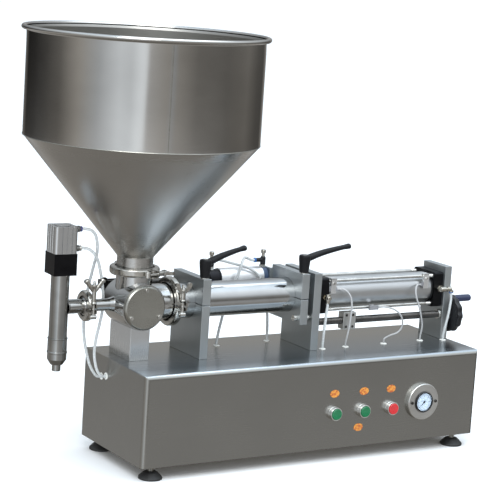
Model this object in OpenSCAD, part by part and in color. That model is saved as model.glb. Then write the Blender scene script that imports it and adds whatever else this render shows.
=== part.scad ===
// Horizontal pneumatic piston filler with a conical hopper, a rotary valve and a shut-off nozzle.
// X runs along the product axis towards the handwheel, Y to the rear, Z up from the floor.
// The product axis lies in the plane Y = 0 and the box around the machine is centred on X = 0.

/* [Housing] */
// Length of the housing
body_l = 850; // [840:10:900]
// Depth of the housing
body_w = 280; // [270:5:320]
// Height of the housing
body_h = 193; // [185:1:220]
// Sheet thickness of the housing
sheet = 2; // [1.5:0.5:3]
// Radius of the folded top edges
fold_r = 10; // [6:1:14]
// Height of the levelling feet
foot_h = 30; // [28:1:40]
// Distance of the housing's middle in front of the product axis
body_shift = 26.5; // [20:0.5:30]

/* [Product path] */
// Height of the product axis above the deck
axis_rise = 115; // [112:1:125]
// Distance of the hopper axis from the housing's left end
hopper_inset = 50; // [46:1:56]
// Distance of the nozzle axis beyond the housing's left end
nozzle_reach = 120; // [116:1:130]
// Outside diameter of the product tube and of the hopper neck
tube_d = 76; // [74:1:77]
// Wall of the product tube
tube_wall = 3; // [2:0.5:4]
// Outside diameter of the outlet pipe
pipe_d = 25.4; // [22:0.2:28]

/* [Hopper] */
// Outside diameter of the hopper
hopper_d = 488; // [440:4:520]
// Height of the hopper's rim above the floor
rim_z = 900; // [860:5:960]
// Height of the seam between cylinder and cone above the floor
seam_z = 683; // [660:1:720]
// Diameter of the rolled rim
bead_d = 12; // [8:1:16]

/* [Valve] */
// Outside diameter of the valve body
valve_d = 98; // [94:1:102]
// Bore of the valve body
valve_bore = 80; // [78:1:82]

/* [Air cylinder] */
// Side of the square end caps
cap_side = 80; // [76:1:82]
// Outside diameter of the barrel
barrel_d = 70; // [66:1:72]
// Stroke of the product piston
stroke = 200; // [120:10:200]

/* [Stroke setting] */
// Diameter of the lead screw
screw_d = 16; // [14:1:18]
// Diameter of the handwheel
wheel_d = 86; // [80:1:92]

/* [Hidden] */
$fn = 64;
eps = 0.01;

// Widest points of the machine, which centre it on X = 0
wheel_reach = 65;
rim_r = hopper_d / 2 + bead_d * 0.9;
body_mid = (rim_r - hopper_inset - wheel_reach) / 2;
left = body_mid - body_l / 2;
right = left + body_l;
deck_z = foot_h + body_h;
axis_z = deck_z + axis_rise;
front_y = -body_shift - body_w / 2;
rear_y = -body_shift + body_w / 2;
hopper_x = left + hopper_inset;
nozzle_x = left - nozzle_reach;

// Stations along the product axis, from the housing's left end
outlet_joint = left - 60;
cylinder_joint = left + 136;
plate_t = 19;
clamp_plate_x = left + 180;
end_plate_x = left + 430;
bulkhead_x = left + 462;
tail_t = 18;
tail_x = left + 830;
plate_top = axis_z + 56;
front_cap_l = 35;
rear_cap_l = 24;
barrel_x = bulkhead_x + plate_t + front_cap_l;
rear_cap_x = tail_x - rear_cap_l;

// Front panel
panel_y = front_y;
button_x = [left + 464, left + 539, left + 614];
button_z = foot_h + 79;
button_stroke = 4;
label_x = [left + 463, left + 540, left + 612, left + 531];
label_z = [foot_h + 122, foot_h + 122, foot_h + 122, foot_h + 42];
gauge_x = left + 698;
gauge_z = foot_h + 87;
gauge_d = 82;
gauge_bore = 46;

// Tri-clamp joints
hopper_joint_z = axis_z + 71;
neck_top_z = hopper_joint_z + 30;
ferrule_r = 45.5;
small_ferrule_r = 25.25;
ferrule_t = 6;
lug_l = 18;
small_lug_l = 15;
bolt_r = 4;
small_bolt_r = 3;
bolt_gap = 0.05;
hopper_bolt_turn = -75;

// Rotary valve
valve_front = -58;
valve_rear = 50;
cover_t = 7;
rotor_gap = 0.05;
shaft_r = 8;
crank_y = 85;
crank_rise = 25;
crank_half = 25;
slot_r = 6.6;
slot_in = 18;
slot_out = 43;
actuator_x = -85;

// Product piston
piston_l = 38;
piston_x = cylinder_joint + 26;
rod_r = 10;
rod_gap = 0.05;
air_piston_x = barrel_x + 8;
air_piston_l = 26;
barrel_bore = 63;

// Nozzle
nozzle_d = 38;
nozzle_bore = 32;
nozzle_tip_z = 205;
sleeve_low_z = 238;
sleeve_top_z = 275;
spacer_low_z = 407;
spacer_top_z = 452;
nozzle_top_z = 508;
nozzle_side = 50;
nozzle_turn = -2.5;
nozzle_fitting_l = 18;
tip_bore_r = 7;
nozzle_lift = 18;

// Stroke setting
screw_y = -36;
screw_z = axis_z - 58;
nut_l = 33;
nut_x = left + 556;
grip_r = 34;

// Air-line and cable exits on the deck
grommets = [[-73, 37], [62, 46], [143, -56], [206, -54], [312, -51], [416, -48], [474, -58]];
end_grommets = [[28, 178], [7, 183]];
line_r = 3;
cable_r = 2;

// Routes of the air lines and cables
nozzle_route_upper = [[-432.1, -1.9, 499], [-426.1, -2.1, 499], [-413, -3, 496], [-401, -1, 486],
  [-392, 6, 467], [-387, 14, 446], [-386, 24, 426], [-386, 36, 398], [-388, 45, 366], [-391, 48, 330],
  [-393, 48, 292], [-391, 46, 258], [-386, 42, 228], [-380, 36, 202], [-372, 30, 185], [-364, 28, 178],
  [-349, 28, 178]];
nozzle_route_lower = [[-432.1, -1.9, 459], [-426.1, -2.1, 459], [-412, -2, 455], [-398, 2, 444],
  [-386, 8, 426], [-376, 14, 400], [-368, 19, 372], [-364, 21, 345], [-365, 21, 318], [-370, 20, 292],
  [-378, 17, 262], [-383, 12, 232], [-380, 8, 206], [-373, 7, 190], [-364, 7, 183], [-349, 7, 183]];
actuator_route_rear = [[40, 85, 400], [34, 85, 400], [24, 84, 404], [12, 78, 408], [1, 68, 405],
  [-10, 58, 392], [-22, 52, 368], [-38, 48, 338], [-54, 44, 302], [-66, 39, 266], [-73, 37, 234],
  [-73, 37, 217]];
actuator_route_front = [[-62, 85, 404], [-56, 85, 404], [-42, 84, 402], [-24, 82, 397], [-4, 77, 392],
  [16, 68, 386], [34, 60, 374], [46, 56, 354], [54, 54, 328], [59, 50, 300], [61, 47, 266],
  [62, 46, 234], [62, 46, 217]];
cylinder_route_front = [[150, -54, 324], [150, -54, 318], [148, -55, 304], [146, -56, 286],
  [144, -56, 260], [143, -56, 234], [143, -56, 217]];
cylinder_route_rear = [[487, -58, 334], [487, -58, 328], [488, -58, 318], [486, -59, 302], [482, -60, 280],
  [477, -59, 254], [474, -58, 234], [474, -58, 217]];
cable_route_front = [[183, -38, 352], [188, -38, 352], [197, -41, 352], [206, -48, 346], [212, -54, 333],
  [214, -56, 312], [213, -56, 290], [210, -56, 262], [206, -54, 234], [206, -54, 217]];
cable_route_middle = [[295, -43, 306], [300, -43, 306], [310, -46, 307], [322, -50, 305], [336, -53, 300],
  [349, -54, 290], [358, -54, 275], [358, -53, 259], [348, -52, 247], [328, -51, 241], [314, -51, 235],
  [312, -51, 229], [312, -51, 217]];
cable_route_rear = [[413.8, -38, 352], [409, -38, 352], [402, -41, 352], [395, -46, 346], [392, -51, 334],
  [397, -52, 318], [405, -52, 300], [412, -52, 278], [417, -51, 256], [416, -48, 234], [416, -48, 217]];

// ---------- shared shapes ----------

// Rectangle with round corners, centred
module round_rect(w, h, r) {
  square([w - 2 * r, h], center = true);
  square([w, h - 2 * r], center = true);
  for (sx = [-1, 1])
    for (sy = [-1, 1])
      translate([sx * (w / 2 - r), sy * (h / 2 - r)]) circle(r = r);
}

// Cylinder along X from the present place
module rod_x(r, l, fn = 64) {
  rotate([0, 90, 0]) cylinder(r = r, h = l, $fn = fn);
}

// Cylinder along Y from the present place
module rod_y(r, l, fn = 64) {
  rotate([-90, 0, 0]) cylinder(r = r, h = l, $fn = fn);
}

// Socket-head cap screw pointing down -Z, its head above the present place
module cap_screw(r, l) {
  difference() {
    union() {
      cylinder(r = r * 1.7, h = r * 2);
      translate([0, 0, -l]) cylinder(r = r, h = l + eps);
    }
    translate([0, 0, r]) cylinder(r = r * 0.9, h = r + 1, $fn = 6);
  }
}

// Hexagonal nut along Z around a stud
module hex_nut(across, bore_r, h) {
  difference() {
    cylinder(d = across / cos(30), h = h, $fn = 6);
    translate([0, 0, -1]) cylinder(r = bore_r, h = h + 2);
  }
}

// Direction of a route at one of its points
function unit(v) = v / norm(v);
function route_dir(pts, i) =
  unit(pts[min(i + 1, len(pts) - 1)] - pts[max(i - 1, 0)]);
// Sideways vectors carried along a route, so that the tube on it doesn't twist
function carried(pts, i, u) =
  let (d = route_dir(pts, i), w = unit(u - (u * d) * d))
  i == len(pts) - 1 ? [w] : concat([w], carried(pts, i + 1, w));

// Plain tube swept along a route
module swept_tube(pts, r, sides = 8) {
  n = len(pts);
  d0 = route_dir(pts, 0);
  u0 = unit(cross(d0, abs(d0[1]) > 0.9 ? [1, 0, 0] : [0, 1, 0]));
  us = carried(pts, 0, u0);
  rings = [for (i = [0:n - 1])
    for (k = [0:sides - 1])
      let (d = route_dir(pts, i), v = cross(d, us[i]), a = 360 * k / sides)
      pts[i] + r * (cos(a) * us[i] + sin(a) * v)];
  walls = [for (i = [0:n - 2])
    for (k = [0:sides - 1])
      [i * sides + k, i * sides + (k + 1) % sides, (i + 1) * sides + (k + 1) % sides,
       (i + 1) * sides + k]];
  start = [for (k = [0:sides - 1]) sides - 1 - k];
  end = [for (k = [0:sides - 1]) (n - 1) * sides + k];
  polyhedron(points = rings, faces = concat([start], walls, [end]));
}

// ---------- housing ----------

// Solid block of the housing's outer or inner form
module housing_block(inset) {
  w = body_w - 2 * inset;
  l = body_l - 2 * inset;
  h = body_h - inset;
  r = fold_r - inset;
  intersection() {
    rotate([90, 0, 90])
      translate([0, 0, -l / 2])
        linear_extrude(l) {
          translate([-w / 2, 0]) square([w, h - r]);
          translate([-w / 2 + r, 0]) square([w - 2 * r, h]);
          for (s = [-1, 1]) translate([s * (w / 2 - r), h - r]) circle(r = r);
        }
    linear_extrude(body_h) round_rect(l, w, r);
  }
}

module housing() {
  flange_w = 42;
  color("silver")
  difference() {
    translate([body_mid, -body_shift, foot_h]) {
      difference() {
        housing_block(0);
        translate([0, 0, -eps]) housing_block(sheet);
      }
      for (s = [-1, 1])
        translate([-body_l / 2 + fold_r, s * (body_w / 2 - sheet - flange_w / 2) - flange_w / 2, 0])
          cube([body_l - 2 * fold_r, flange_w, sheet]);
    }
    for (x = button_x)
      translate([x, panel_y - 1, button_z]) rod_y(11.1, sheet + 2);
    translate([gauge_x, panel_y - 1, gauge_z]) rod_y(20.1, sheet + 2);
    for (s = [-1, 1])
      translate([gauge_x + s * 32, panel_y - 1, gauge_z]) rod_y(2.1, sheet + 2);
    for (g = grommets)
      translate([g[0], g[1], deck_z - sheet - 1]) cylinder(r = 5, h = sheet + 2);
    for (g = end_grommets)
      translate([left - 1, g[0], g[1]]) rod_x(5, sheet + 2);
    translate([right - 150, rear_y - sheet - 1, foot_h + 60]) rod_y(8.1, sheet + 2);
    for (x = foot_places_x())
      for (y = foot_places_y())
        translate([x, y, foot_h - 1]) cylinder(r = 6.5, h = sheet + 2);
    for (i = [0:7])
      translate([left + 300 + i * 30, rear_y - sheet - 1, foot_h + 110])
        cube([20, sheet + 2, 4]);
  }
}

function foot_places_x() = [left + 37, right - 37];
function foot_places_y() = [front_y + 28, rear_y - 28];

// Floor of the housing, which lies on the folded flanges
module base_plate() {
  color("silver")
  difference() {
    translate([body_mid, -body_shift, foot_h + sheet])
      linear_extrude(3)
        round_rect(body_l - 2 * sheet - 1, body_w - 2 * sheet - 1, fold_r - sheet);
    for (x = foot_places_x())
      for (y = foot_places_y())
        translate([x, y, foot_h + sheet - 1]) cylinder(r = 6.5, h = 5);
  }
}

// Four pads with ball studs and lock nuts
module levelling_feet() {
  for (x = foot_places_x())
    for (y = foot_places_y())
      translate([x, y, 0]) {
        color("black")
          rotate_extrude()
            polygon([[0, 0], [25, 0], [25, 4], [22, 8], [13, 16], [0, 16]]);
        color("silver") {
          translate([0, 0, 16]) cylinder(r = 6, h = foot_h + 14 - 16);
          translate([0, 0, foot_h - 7]) hex_nut(19, 6, 7);
          translate([0, 0, foot_h + sheet + 3]) hex_nut(19, 6, 7);
        }
      }
}

// ---------- front panel ----------

module panel_labels() {
  color("orange")
    for (i = [0:3])
      translate([label_x[i], panel_y, label_z[i]])
        rotate([90, 0, 0])
          scale([1.4, 1, 1]) cylinder(r = 8.5, h = 0.6);
}

// Chromed bezel with its threaded barrel, lock nut and contact block behind the panel
module button_bezels() {
  for (x = button_x)
    translate([x, panel_y, button_z]) {
      color("silver") {
        rotate([90, 0, 0])
          rotate_extrude()
            polygon([[9, -24], [11, -24], [11, 0], [15, 0], [15, 3], [14.2, 12], [12.3, 12],
              [12.3, 0.8], [9, 0.8]]);
        translate([0, sheet, 0])
          rotate([-90, 0, 0])
            rotate_extrude()
              polygon([[11, 0], [15, 0], [15, 4], [11, 4]]);
      }
      color("dimgray") translate([-15, 24, -15]) cube([30, 26, 30]);
    }
}

// Push-button cap with its stem, which slides into the barrel
module button_cap(x, tone) {
  color(tone)
    translate([x, panel_y, button_z])
      rotate([90, 0, 0])
        rotate_extrude()
          polygon([[0, -14], [6, -14], [6, button_stroke + 1], [12.2, button_stroke + 1],
            [12.2, 14], [11.2, 15.5], [0, 16]]);
}

module green_button_left() {
  button_cap(button_x[0], "green");
}

module green_button_right() {
  button_cap(button_x[1], "green");
}

module red_button() {
  button_cap(button_x[2], "red");
}

// Thick ring that holds the gauge to the panel
module gauge_flange() {
  color("silver")
    difference() {
      translate([gauge_x, panel_y, gauge_z])
        rotate([90, 0, 0])
          rotate_extrude()
            polygon([[20.2, 0], [gauge_d / 2, 0], [gauge_d / 2, 8], [gauge_d / 2 - 1, 9],
              [20.2, 9]]);
      for (s = [-1, 1])
        translate([gauge_x + s * 32, panel_y - 10, gauge_z]) rod_y(2.1, 12);
    }
}

// Gauge case with its black bezel, dial plate, movement shaft and rear connection
module gauge_case() {
  color("black")
    translate([gauge_x, panel_y, gauge_z])
      rotate([90, 0, 0])
        rotate_extrude()
          polygon([[0, -30], [20, -30], [20, 9], [gauge_bore / 2, 9], [gauge_bore / 2, 13],
            [20.4, 13], [20.4, 9.5], [1, 9.5], [1, 11], [0, 11]]);
  color("goldenrod")
    translate([gauge_x, panel_y + 30, gauge_z]) rod_y(6, 14);
}

module gauge_needle() {
  color("black")
    translate([gauge_x, panel_y - 11.2, gauge_z])
      rotate([90, 0, 0])
        linear_extrude(0.6) {
          circle(r = 2.2);
          rotate(225) translate([-4, -0.5]) square([18, 1]);
        }
}

module gauge_glass() {
  color("lightblue", 0.4)
    translate([gauge_x, panel_y - 12.2, gauge_z]) rotate([90, 0, 0]) cylinder(r = 20.3, h = 0.8);
}

// ---------- inside the housing ----------

// Manifold with three solenoid valves and the timer box beside it
module valve_bank() {
  z = foot_h + sheet + 3;
  color("dimgray") translate([left + 330, -70, z]) cube([130, 60, 22]);
  color("silver")
    for (i = [0:2])
      translate([left + 338 + i * 40, -66, z + 22]) cube([30, 52, 34]);
  color("black")
    for (i = [0:2])
      translate([left + 343 + i * 40, -60, z + 56]) cube([20, 22, 30]);
  color("beige") translate([left + 560, 20, z]) cube([120, 60, 90]);
}

// Flanged rubber rings where lines and cables pass through the sheet
module deck_grommets() {
  outline = [[2.2, -sheet - 1.5], [6, -sheet - 1.5], [6, -sheet], [4.9, -sheet], [4.9, 0],
    [7.5, 0], [7.5, 1], [6, 2], [3.6, 2]];
  line_outline = [for (p = outline) [p[0] < 4 ? 3.05 : p[0], p[1]]];
  cable_outline = [for (p = outline) [p[0] < 4 ? 2.05 : p[0], p[1]]];
  color("white") {
    for (i = [0:len(grommets) - 1])
      translate([grommets[i][0], grommets[i][1], deck_z])
        rotate_extrude()
          polygon(i > 2 && i < 6 ? cable_outline : line_outline);
    for (g = end_grommets)
      translate([left, g[0], g[1]])
        rotate([0, -90, 0])
          rotate_extrude()
            polygon(line_outline);
  }
}

// ---------- plates ----------

// Block under the valve body, with a cradle on top
module support_block() {
  color("silver")
    difference() {
      translate([hopper_x - 22.5, -40, deck_z]) cube([45, 93, axis_rise - 36]);
      translate([hopper_x, -60, axis_z]) rod_y(valve_d / 2, 140);
    }
}

// Upright plate across the product axis
module upright(x, t, y0, y1, z0) {
  translate([x, y0, z0]) cube([t, y1 - y0, plate_top - z0]);
}

// Clamp plate that is bored for the product tube, with a saw cut and a lever bolt
module clamp_cuts(x, front) {
  translate([x - 1, 0, axis_z]) rod_x(tube_d / 2, plate_t + 2);
  translate([x - 1, front - 1, axis_z - 1]) cube([plate_t + 2, -front + 2, 2]);
  translate([x + plate_t / 2, (front - tube_d / 2) / 2, axis_z - 30])
    cylinder(r = 5.05, h = 100);
}

module tube_clamp_plate() {
  color("gray")
    difference() {
      upright(clamp_plate_x, plate_t, -66, 64, deck_z);
      clamp_cuts(clamp_plate_x, -66);
    }
}

module tube_end_plate() {
  color("gray")
    difference() {
      upright(end_plate_x, plate_t, -62, 63, axis_z - 56);
      clamp_cuts(end_plate_x, -62);
      for (y = [-46, 46])
        translate([end_plate_x - 1, y, axis_z - 43]) rod_x(4.1, plate_t + 2);
    }
}

module bulkhead_plate() {
  color("gray")
    difference() {
      upright(bulkhead_x, plate_t, -62, 60, deck_z);
      translate([bulkhead_x - 1, 0, axis_z]) rod_x(rod_r + 2, plate_t + 2);
      for (y = [-46, 46])
        translate([bulkhead_x - 1, y, axis_z - 43]) rod_x(4.1, plate_t + 2);
      translate([bulkhead_x + 10, screw_y, screw_z]) rod_x(6.05, plate_t);
    }
}

module tail_plate() {
  color("gray")
    difference() {
      translate([tail_x, -47, deck_z]) cube([tail_t, 84, plate_top - 2 - deck_z]);
      translate([tail_x - 1, screw_y, screw_z]) rod_x(6.05, tail_t + 2);
    }
}

// Screws of one kind: valve covers, plate spacers and gauge flange
module cap_screws() {
  color("silver") {
    for (a = [90, 210, 330])
      translate([hopper_x + 38 * cos(a), valve_front, axis_z + 38 * sin(a)])
        rotate([90, 0, 0]) slot_screw(2.5, 3.5, 0);
    for (s = [-1, 1])
      translate([gauge_x + s * 32, panel_y - 9, gauge_z])
        rotate([90, 0, 0]) slot_screw(2, 3, 16);
    for (y = [-46, 46])
      translate([end_plate_x, y, axis_z - 43]) {
        rotate([0, -90, 0]) cap_screw(4, 50);
        translate([plate_t, 0, 0]) rotate([0, 90, 0]) hex_nut(15, 4, 8);
      }
  }
}

// Slotted cheese-head screw, head above the present place
module slot_screw(r, h, l) {
  difference() {
    union() {
      cylinder(r = r * 1.7, h = h);
      if (l > 0) translate([0, 0, -l]) cylinder(r = r, h = l + eps);
    }
    translate([-r * 2, -0.5, h - 1.2]) cube([r * 4, 1, 2]);
  }
}

// Adjustable clamping lever: hub with a screw, a stud and a raised arm
module clamp_lever(x, front, turn) {
  y = (front - tube_d / 2) / 2;
  hub_z = plate_top + 12;
  translate([x + plate_t / 2, y, 0]) rotate(turn) {
    color("silver") {
      translate([0, 0, axis_z - 26]) cylinder(r = 5, h = plate_top - axis_z + 26 + 13);
      translate([0, 0, plate_top]) cylinder(r = 9, h = 2);
    }
    color("black") {
      difference() {
        translate([0, 0, plate_top + 2]) cylinder(r1 = 10, r2 = 13, h = 38);
        translate([0, 0, plate_top + 1]) cylinder(r = 5, h = 12);
      }
      hull() {
        translate([6, 0, hub_z + 22]) sphere(r = 8, $fn = 32);
        translate([0, 0, hub_z + 20]) cylinder(r = 10, h = 8, $fn = 32);
        translate([70, 0, hub_z + 36]) sphere(r = 6.5, $fn = 32);
      }
      hull() {
        translate([70, 0, hub_z + 36]) sphere(r = 6.5, $fn = 32);
        translate([112, 0, hub_z + 43]) sphere(r = 6, $fn = 32);
      }
    }
  }
}

module clamp_lever_left() {
  clamp_lever(clamp_plate_x, -66, 14);
}

module clamp_lever_right() {
  clamp_lever(end_plate_x, -62, 0);
}

// ---------- hopper ----------

// Spun shell with a rolled rim, a short neck and a ferrule
module hopper() {
  r = hopper_d / 2;
  neck_r = tube_d / 2;
  wall = 2;
  color("silver")
    translate([hopper_x, 0, 0])
      rotate_extrude($fn = 128) {
        difference() {
          polygon([[neck_r, hopper_joint_z + ferrule_t], [neck_r, neck_top_z], [r, seam_z],
            [r, rim_z], [r - wall, rim_z], [r - wall, seam_z + 1],
            [neck_r - wall, neck_top_z + 1], [neck_r - wall, hopper_joint_z + 0.5],
            [ferrule_r, hopper_joint_z + 0.5], [ferrule_r, hopper_joint_z + 3]]);
          translate([r + bead_d * 0.4, rim_z - 1]) circle(d = bead_d - 3);
        }
        difference() {
          translate([r + bead_d * 0.4, rim_z - 1]) circle(d = bead_d);
          translate([r + bead_d * 0.4, rim_z - 1]) circle(d = bead_d - 3);
        }
      }
}

// ---------- tri-clamp joints ----------

// Two half rings with lugs about the Z axis, hinged at -X and bolted at +X
module clamp_pair(r, w, lug, bolt) {
  gap = 1.5;
  reach = r * 2 + 40;
  for (s = [-1, 1])
    difference() {
      union() {
        rotate_extrude()
          polygon([[r - 4.5, -w / 2], [r + 7, -w / 2], [r + 7, w / 2], [r - 4.5, w / 2],
            [r + 0.3, 3.4], [r + 0.3, -3.4]]);
        translate([r + 2, -10.5, -w / 2]) cube([lug, 21, w]);
        translate([-r - 7, 0, -w / 2]) cylinder(r = 7, h = w);
      }
      translate([-reach, s > 0 ? gap - reach : -gap, -w]) cube([reach * 2, reach, w * 2]);
      translate([bolt_place(r, lug), -20, 0]) rod_y(bolt + 0.8, 40);
      translate([-r - 7, 0, -w]) cylinder(r = 3, h = w * 2);
    }
  translate([-r - 7, 0, -w / 2 - 2]) cylinder(r = 2.9, h = w + 4);
}

function bolt_place(r, lug) = r + lug / 2 + 4;

// Place a child in the local frame of one of the three joints
module at_hopper_joint() {
  translate([hopper_x, 0, hopper_joint_z]) rotate(hopper_bolt_turn) children();
}

module at_cylinder_joint() {
  translate([cylinder_joint, 0, axis_z]) rotate([0, -90, 0]) rotate(-90) children();
}

module at_outlet_joint() {
  translate([outlet_joint, 0, axis_z]) rotate([0, -90, 0]) rotate(-90) children();
}

module clamp_rings() {
  color("silver") {
    at_hopper_joint() clamp_pair(ferrule_r, 17, lug_l, bolt_r);
    at_cylinder_joint() clamp_pair(ferrule_r, 17, lug_l, bolt_r);
    at_outlet_joint() clamp_pair(small_ferrule_r, 13, small_lug_l, small_bolt_r);
  }
}

// Sealing rings between the ferrules
module gaskets() {
  color("white") {
    translate([hopper_x, 0, hopper_joint_z]) seal_ring(ferrule_r - 0.5, tube_d / 2 - 2);
    translate([cylinder_joint, 0, axis_z])
      rotate([0, 90, 0]) seal_ring(ferrule_r - 0.5, tube_d / 2 - tube_wall);
    translate([outlet_joint, 0, axis_z])
      rotate([0, 90, 0]) seal_ring(small_ferrule_r - 0.5, pipe_d / 2 - 1.5);
  }
}

module seal_ring(r, inner) {
  difference() {
    translate([0, 0, -0.5]) cylinder(r = r, h = 1);
    translate([0, 0, -1]) cylinder(r = inner, h = 2);
  }
}

// Eye bolt across the lugs, pivoted below the lower one
module swing_bolt(r, lug, bolt, top) {
  translate([bolt_place(r, lug), 0, 0]) {
    translate([0, -14, 0]) rod_y(bolt, top + 14);
    translate([0, -13 - bolt, -6]) cylinder(r = bolt + 2, h = 12);
  }
}

module swing_bolts() {
  color("silver") {
    at_hopper_joint() swing_bolt(ferrule_r, lug_l, bolt_r, 44);
    at_cylinder_joint() swing_bolt(ferrule_r, lug_l, bolt_r, 46);
    at_outlet_joint() swing_bolt(small_ferrule_r, small_lug_l, small_bolt_r, 58);
  }
}

// Wing nut along Y on a hub of the given height, with two raised wings
module wing_nut(r, lug, bolt, hub_h, span, turn = 0) {
  hub = bolt + 3;
  translate([bolt_place(r, lug), 11, 0]) rotate([0, turn, 0])
    difference() {
      union() {
        rod_y(hub, hub_h);
        for (s = [-1, 1])
          translate([0, hub_h, -3.5])
            linear_extrude(7)
              polygon([[s * (hub - 2), -10], [s * span, 4], [s * span, 12], [s * (span - 5), 14],
                [s * (hub - 2), 0]]);
      }
      translate([0, -1, 0]) rod_y(bolt + bolt_gap, hub_h + 2);
    }
}

module hopper_wing_nut() {
  color("silver") at_hopper_joint() wing_nut(ferrule_r, lug_l, bolt_r, 22, 16);
}

module cylinder_wing_nut() {
  color("silver") at_cylinder_joint() wing_nut(ferrule_r, lug_l, bolt_r, 26, 19, 90);
}

module outlet_wing_nut() {
  color("silver") at_outlet_joint()
    wing_nut(small_ferrule_r, small_lug_l, small_bolt_r, 40, 24, 90);
}

// Ferrule along +X that ends at the joint face
module ferrule_x(r, pipe_r, l) {
  rotate([0, 90, 0])
    rotate_extrude()
      polygon([[0, -l], [pipe_r, -l], [pipe_r, -ferrule_t], [r, -3], [r, -0.5], [0, -0.5]]);
}

// ---------- rotary valve ----------

module valve_body() {
  neck = tube_d / 2;
  color("silver")
    difference() {
      union() {
        translate([hopper_x, valve_front + cover_t, axis_z])
          rod_y(valve_d / 2, valve_rear - valve_front - 2 * cover_t);
        translate([hopper_x, 0, hopper_joint_z])
          rotate([0, -90, 0]) ferrule_x(ferrule_r, neck, hopper_joint_z - axis_z);
        translate([cylinder_joint, 0, axis_z])
          ferrule_x(ferrule_r, neck, cylinder_joint - hopper_x);
        translate([outlet_joint, 0, axis_z])
          mirror([1, 0, 0]) ferrule_x(small_ferrule_r, pipe_d / 2, hopper_x - outlet_joint);
        translate([hopper_x - valve_d / 2 - 12, 0, axis_z])
          rotate([0, 90, 0]) cylinder(r1 = pipe_d / 2, r2 = pipe_d / 2 + 5, h = 20);
      }
      translate([hopper_x, valve_front - 1, axis_z]) rod_y(valve_bore / 2, 200);
      translate([hopper_x, 0, axis_z]) cylinder(r = neck - 3, h = 100);
      translate([hopper_x, 0, axis_z]) rod_x(neck - tube_wall, 200);
      translate([outlet_joint - 1, 0, axis_z])
        rod_x(pipe_d / 2 - 1.5, hopper_x - outlet_joint);
    }
}

// Front disc and rear disc that close the valve body
module valve_covers() {
  color("silver") {
    translate([hopper_x, valve_front, axis_z])
      rotate([-90, 0, 0])
        rotate_extrude()
          polygon([[0, 0], [44, 0], [46.5, 2.5], [46.5, cover_t], [0, cover_t]]);
    translate([hopper_x, valve_rear - cover_t, axis_z])
      rotate([-90, 0, 0])
        rotate_extrude()
          polygon([[shaft_r + rotor_gap, 0], [46.5, 0], [46.5, cover_t - 2], [44, cover_t],
            [16, cover_t], [16, cover_t + 10], [shaft_r + rotor_gap, cover_t + 10]]);
  }
}

// Rotor with a deep side cut that joins two ports, and its drive shaft
module valve_rotor() {
  r = valve_bore / 2 - rotor_gap;
  y0 = valve_front + cover_t + 0.2;
  y1 = valve_rear - cover_t - 0.2;
  color("gray")
    difference() {
      union() {
        translate([hopper_x, y0, axis_z]) rod_y(r, y1 - y0);
        translate([hopper_x, y1 - 1, axis_z]) rod_y(shaft_r, crank_y + 14 - y1);
      }
      translate([hopper_x - 12, -tube_d / 2 + 2, axis_z - 60]) cube([80, tube_d - 4, 120]);
    }
}

// Slotted crank on the rotor's shaft
module crank_arm() {
  color("black")
    translate([hopper_x, crank_y - 4, axis_z])
      rotate([-90, 0, 0])
        difference() {
          union() {
            translate([0, 0, -2]) cylinder(r = 15, h = 12);
            rotate(-135)
              linear_extrude(8)
                polygon([[0, -12], [43, -12], [49, -6], [49, 6], [43, 12], [0, 12]]);
          }
          translate([0, 0, -3]) cylinder(r = shaft_r, h = 14);
          rotate(-135) translate([slot_in, -slot_r, -1]) cube([slot_out - slot_in, 2 * slot_r, 10]);
        }
}

// Fork, pin and piston rod of the valve actuator
module actuator_rod() {
  pin_x = hopper_x - crank_half;
  z = axis_z + crank_rise;
  color("black")
    difference() {
      translate([pin_x - 10, crank_y - 11, z - 9]) cube([50, 22, 18]);
      translate([pin_x - 11, crank_y - 5, z - 10]) cube([39, 10, 20]);
      translate([pin_x, crank_y - 12, z]) rod_y(4, 24);
    }
  color("silver") {
    translate([pin_x, crank_y - 12, z]) rod_y(4, 24);
    translate([pin_x + 39, crank_y, z]) rod_x(7, actuator_x + 36 - pin_x - 39);
    translate([actuator_x + 35, crank_y, z]) rod_x(19, 12);
  }
}

// Barrel and end caps of the valve actuator
module valve_actuator() {
  z = axis_z + crank_rise;
  color("silver")
    difference() {
      translate([actuator_x + 32, crank_y, z]) rod_x(22.5, 109);
      translate([actuator_x + 31, crank_y, z]) rod_x(19.5, 111);
    }
  color("black")
    difference() {
      translate([actuator_x, crank_y, z]) rod_x(21, 32);
      translate([actuator_x - 1, crank_y, z]) rod_x(7 + rod_gap, 34);
    }
  color("steelblue") translate([actuator_x + 141, crank_y, z]) rod_x(21, end_plate_x - actuator_x - 147);
  color("silver") translate([end_plate_x - 6, crank_y, z]) rod_x(9, 24);
}

// Angle that holds the actuator's threaded nose to the tube end plate, with its nut
module actuator_bracket() {
  z = axis_z + crank_rise;
  color("gray")
    difference() {
      union() {
        translate([end_plate_x - 6, 63, z - 22]) cube([6, 46, 44]);
        translate([end_plate_x - 6, 63, z - 22]) cube([plate_t + 6, 6, 44]);
      }
      translate([end_plate_x - 10, crank_y, z]) rod_x(9, 20);
    }
  color("black")
    difference() {
      translate([end_plate_x, crank_y, z]) rotate([0, 90, 0]) cylinder(r = 15, h = 10, $fn = 6);
      translate([end_plate_x - 1, crank_y, z]) rod_x(9, 20);
    }
}

// ---------- outlet pipe and nozzle ----------

module outlet_pipe() {
  color("silver")
    difference() {
      translate([outlet_joint, 0, axis_z])
        ferrule_x(small_ferrule_r, 15, outlet_joint - nozzle_x - nozzle_d / 2 + 2);
      translate([nozzle_x, 0, axis_z]) rod_x(pipe_d / 2 - 1.5, 200);
      translate([nozzle_x, 0, axis_z - 50]) cylinder(d = nozzle_d, h = 100);
    }
}

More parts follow.
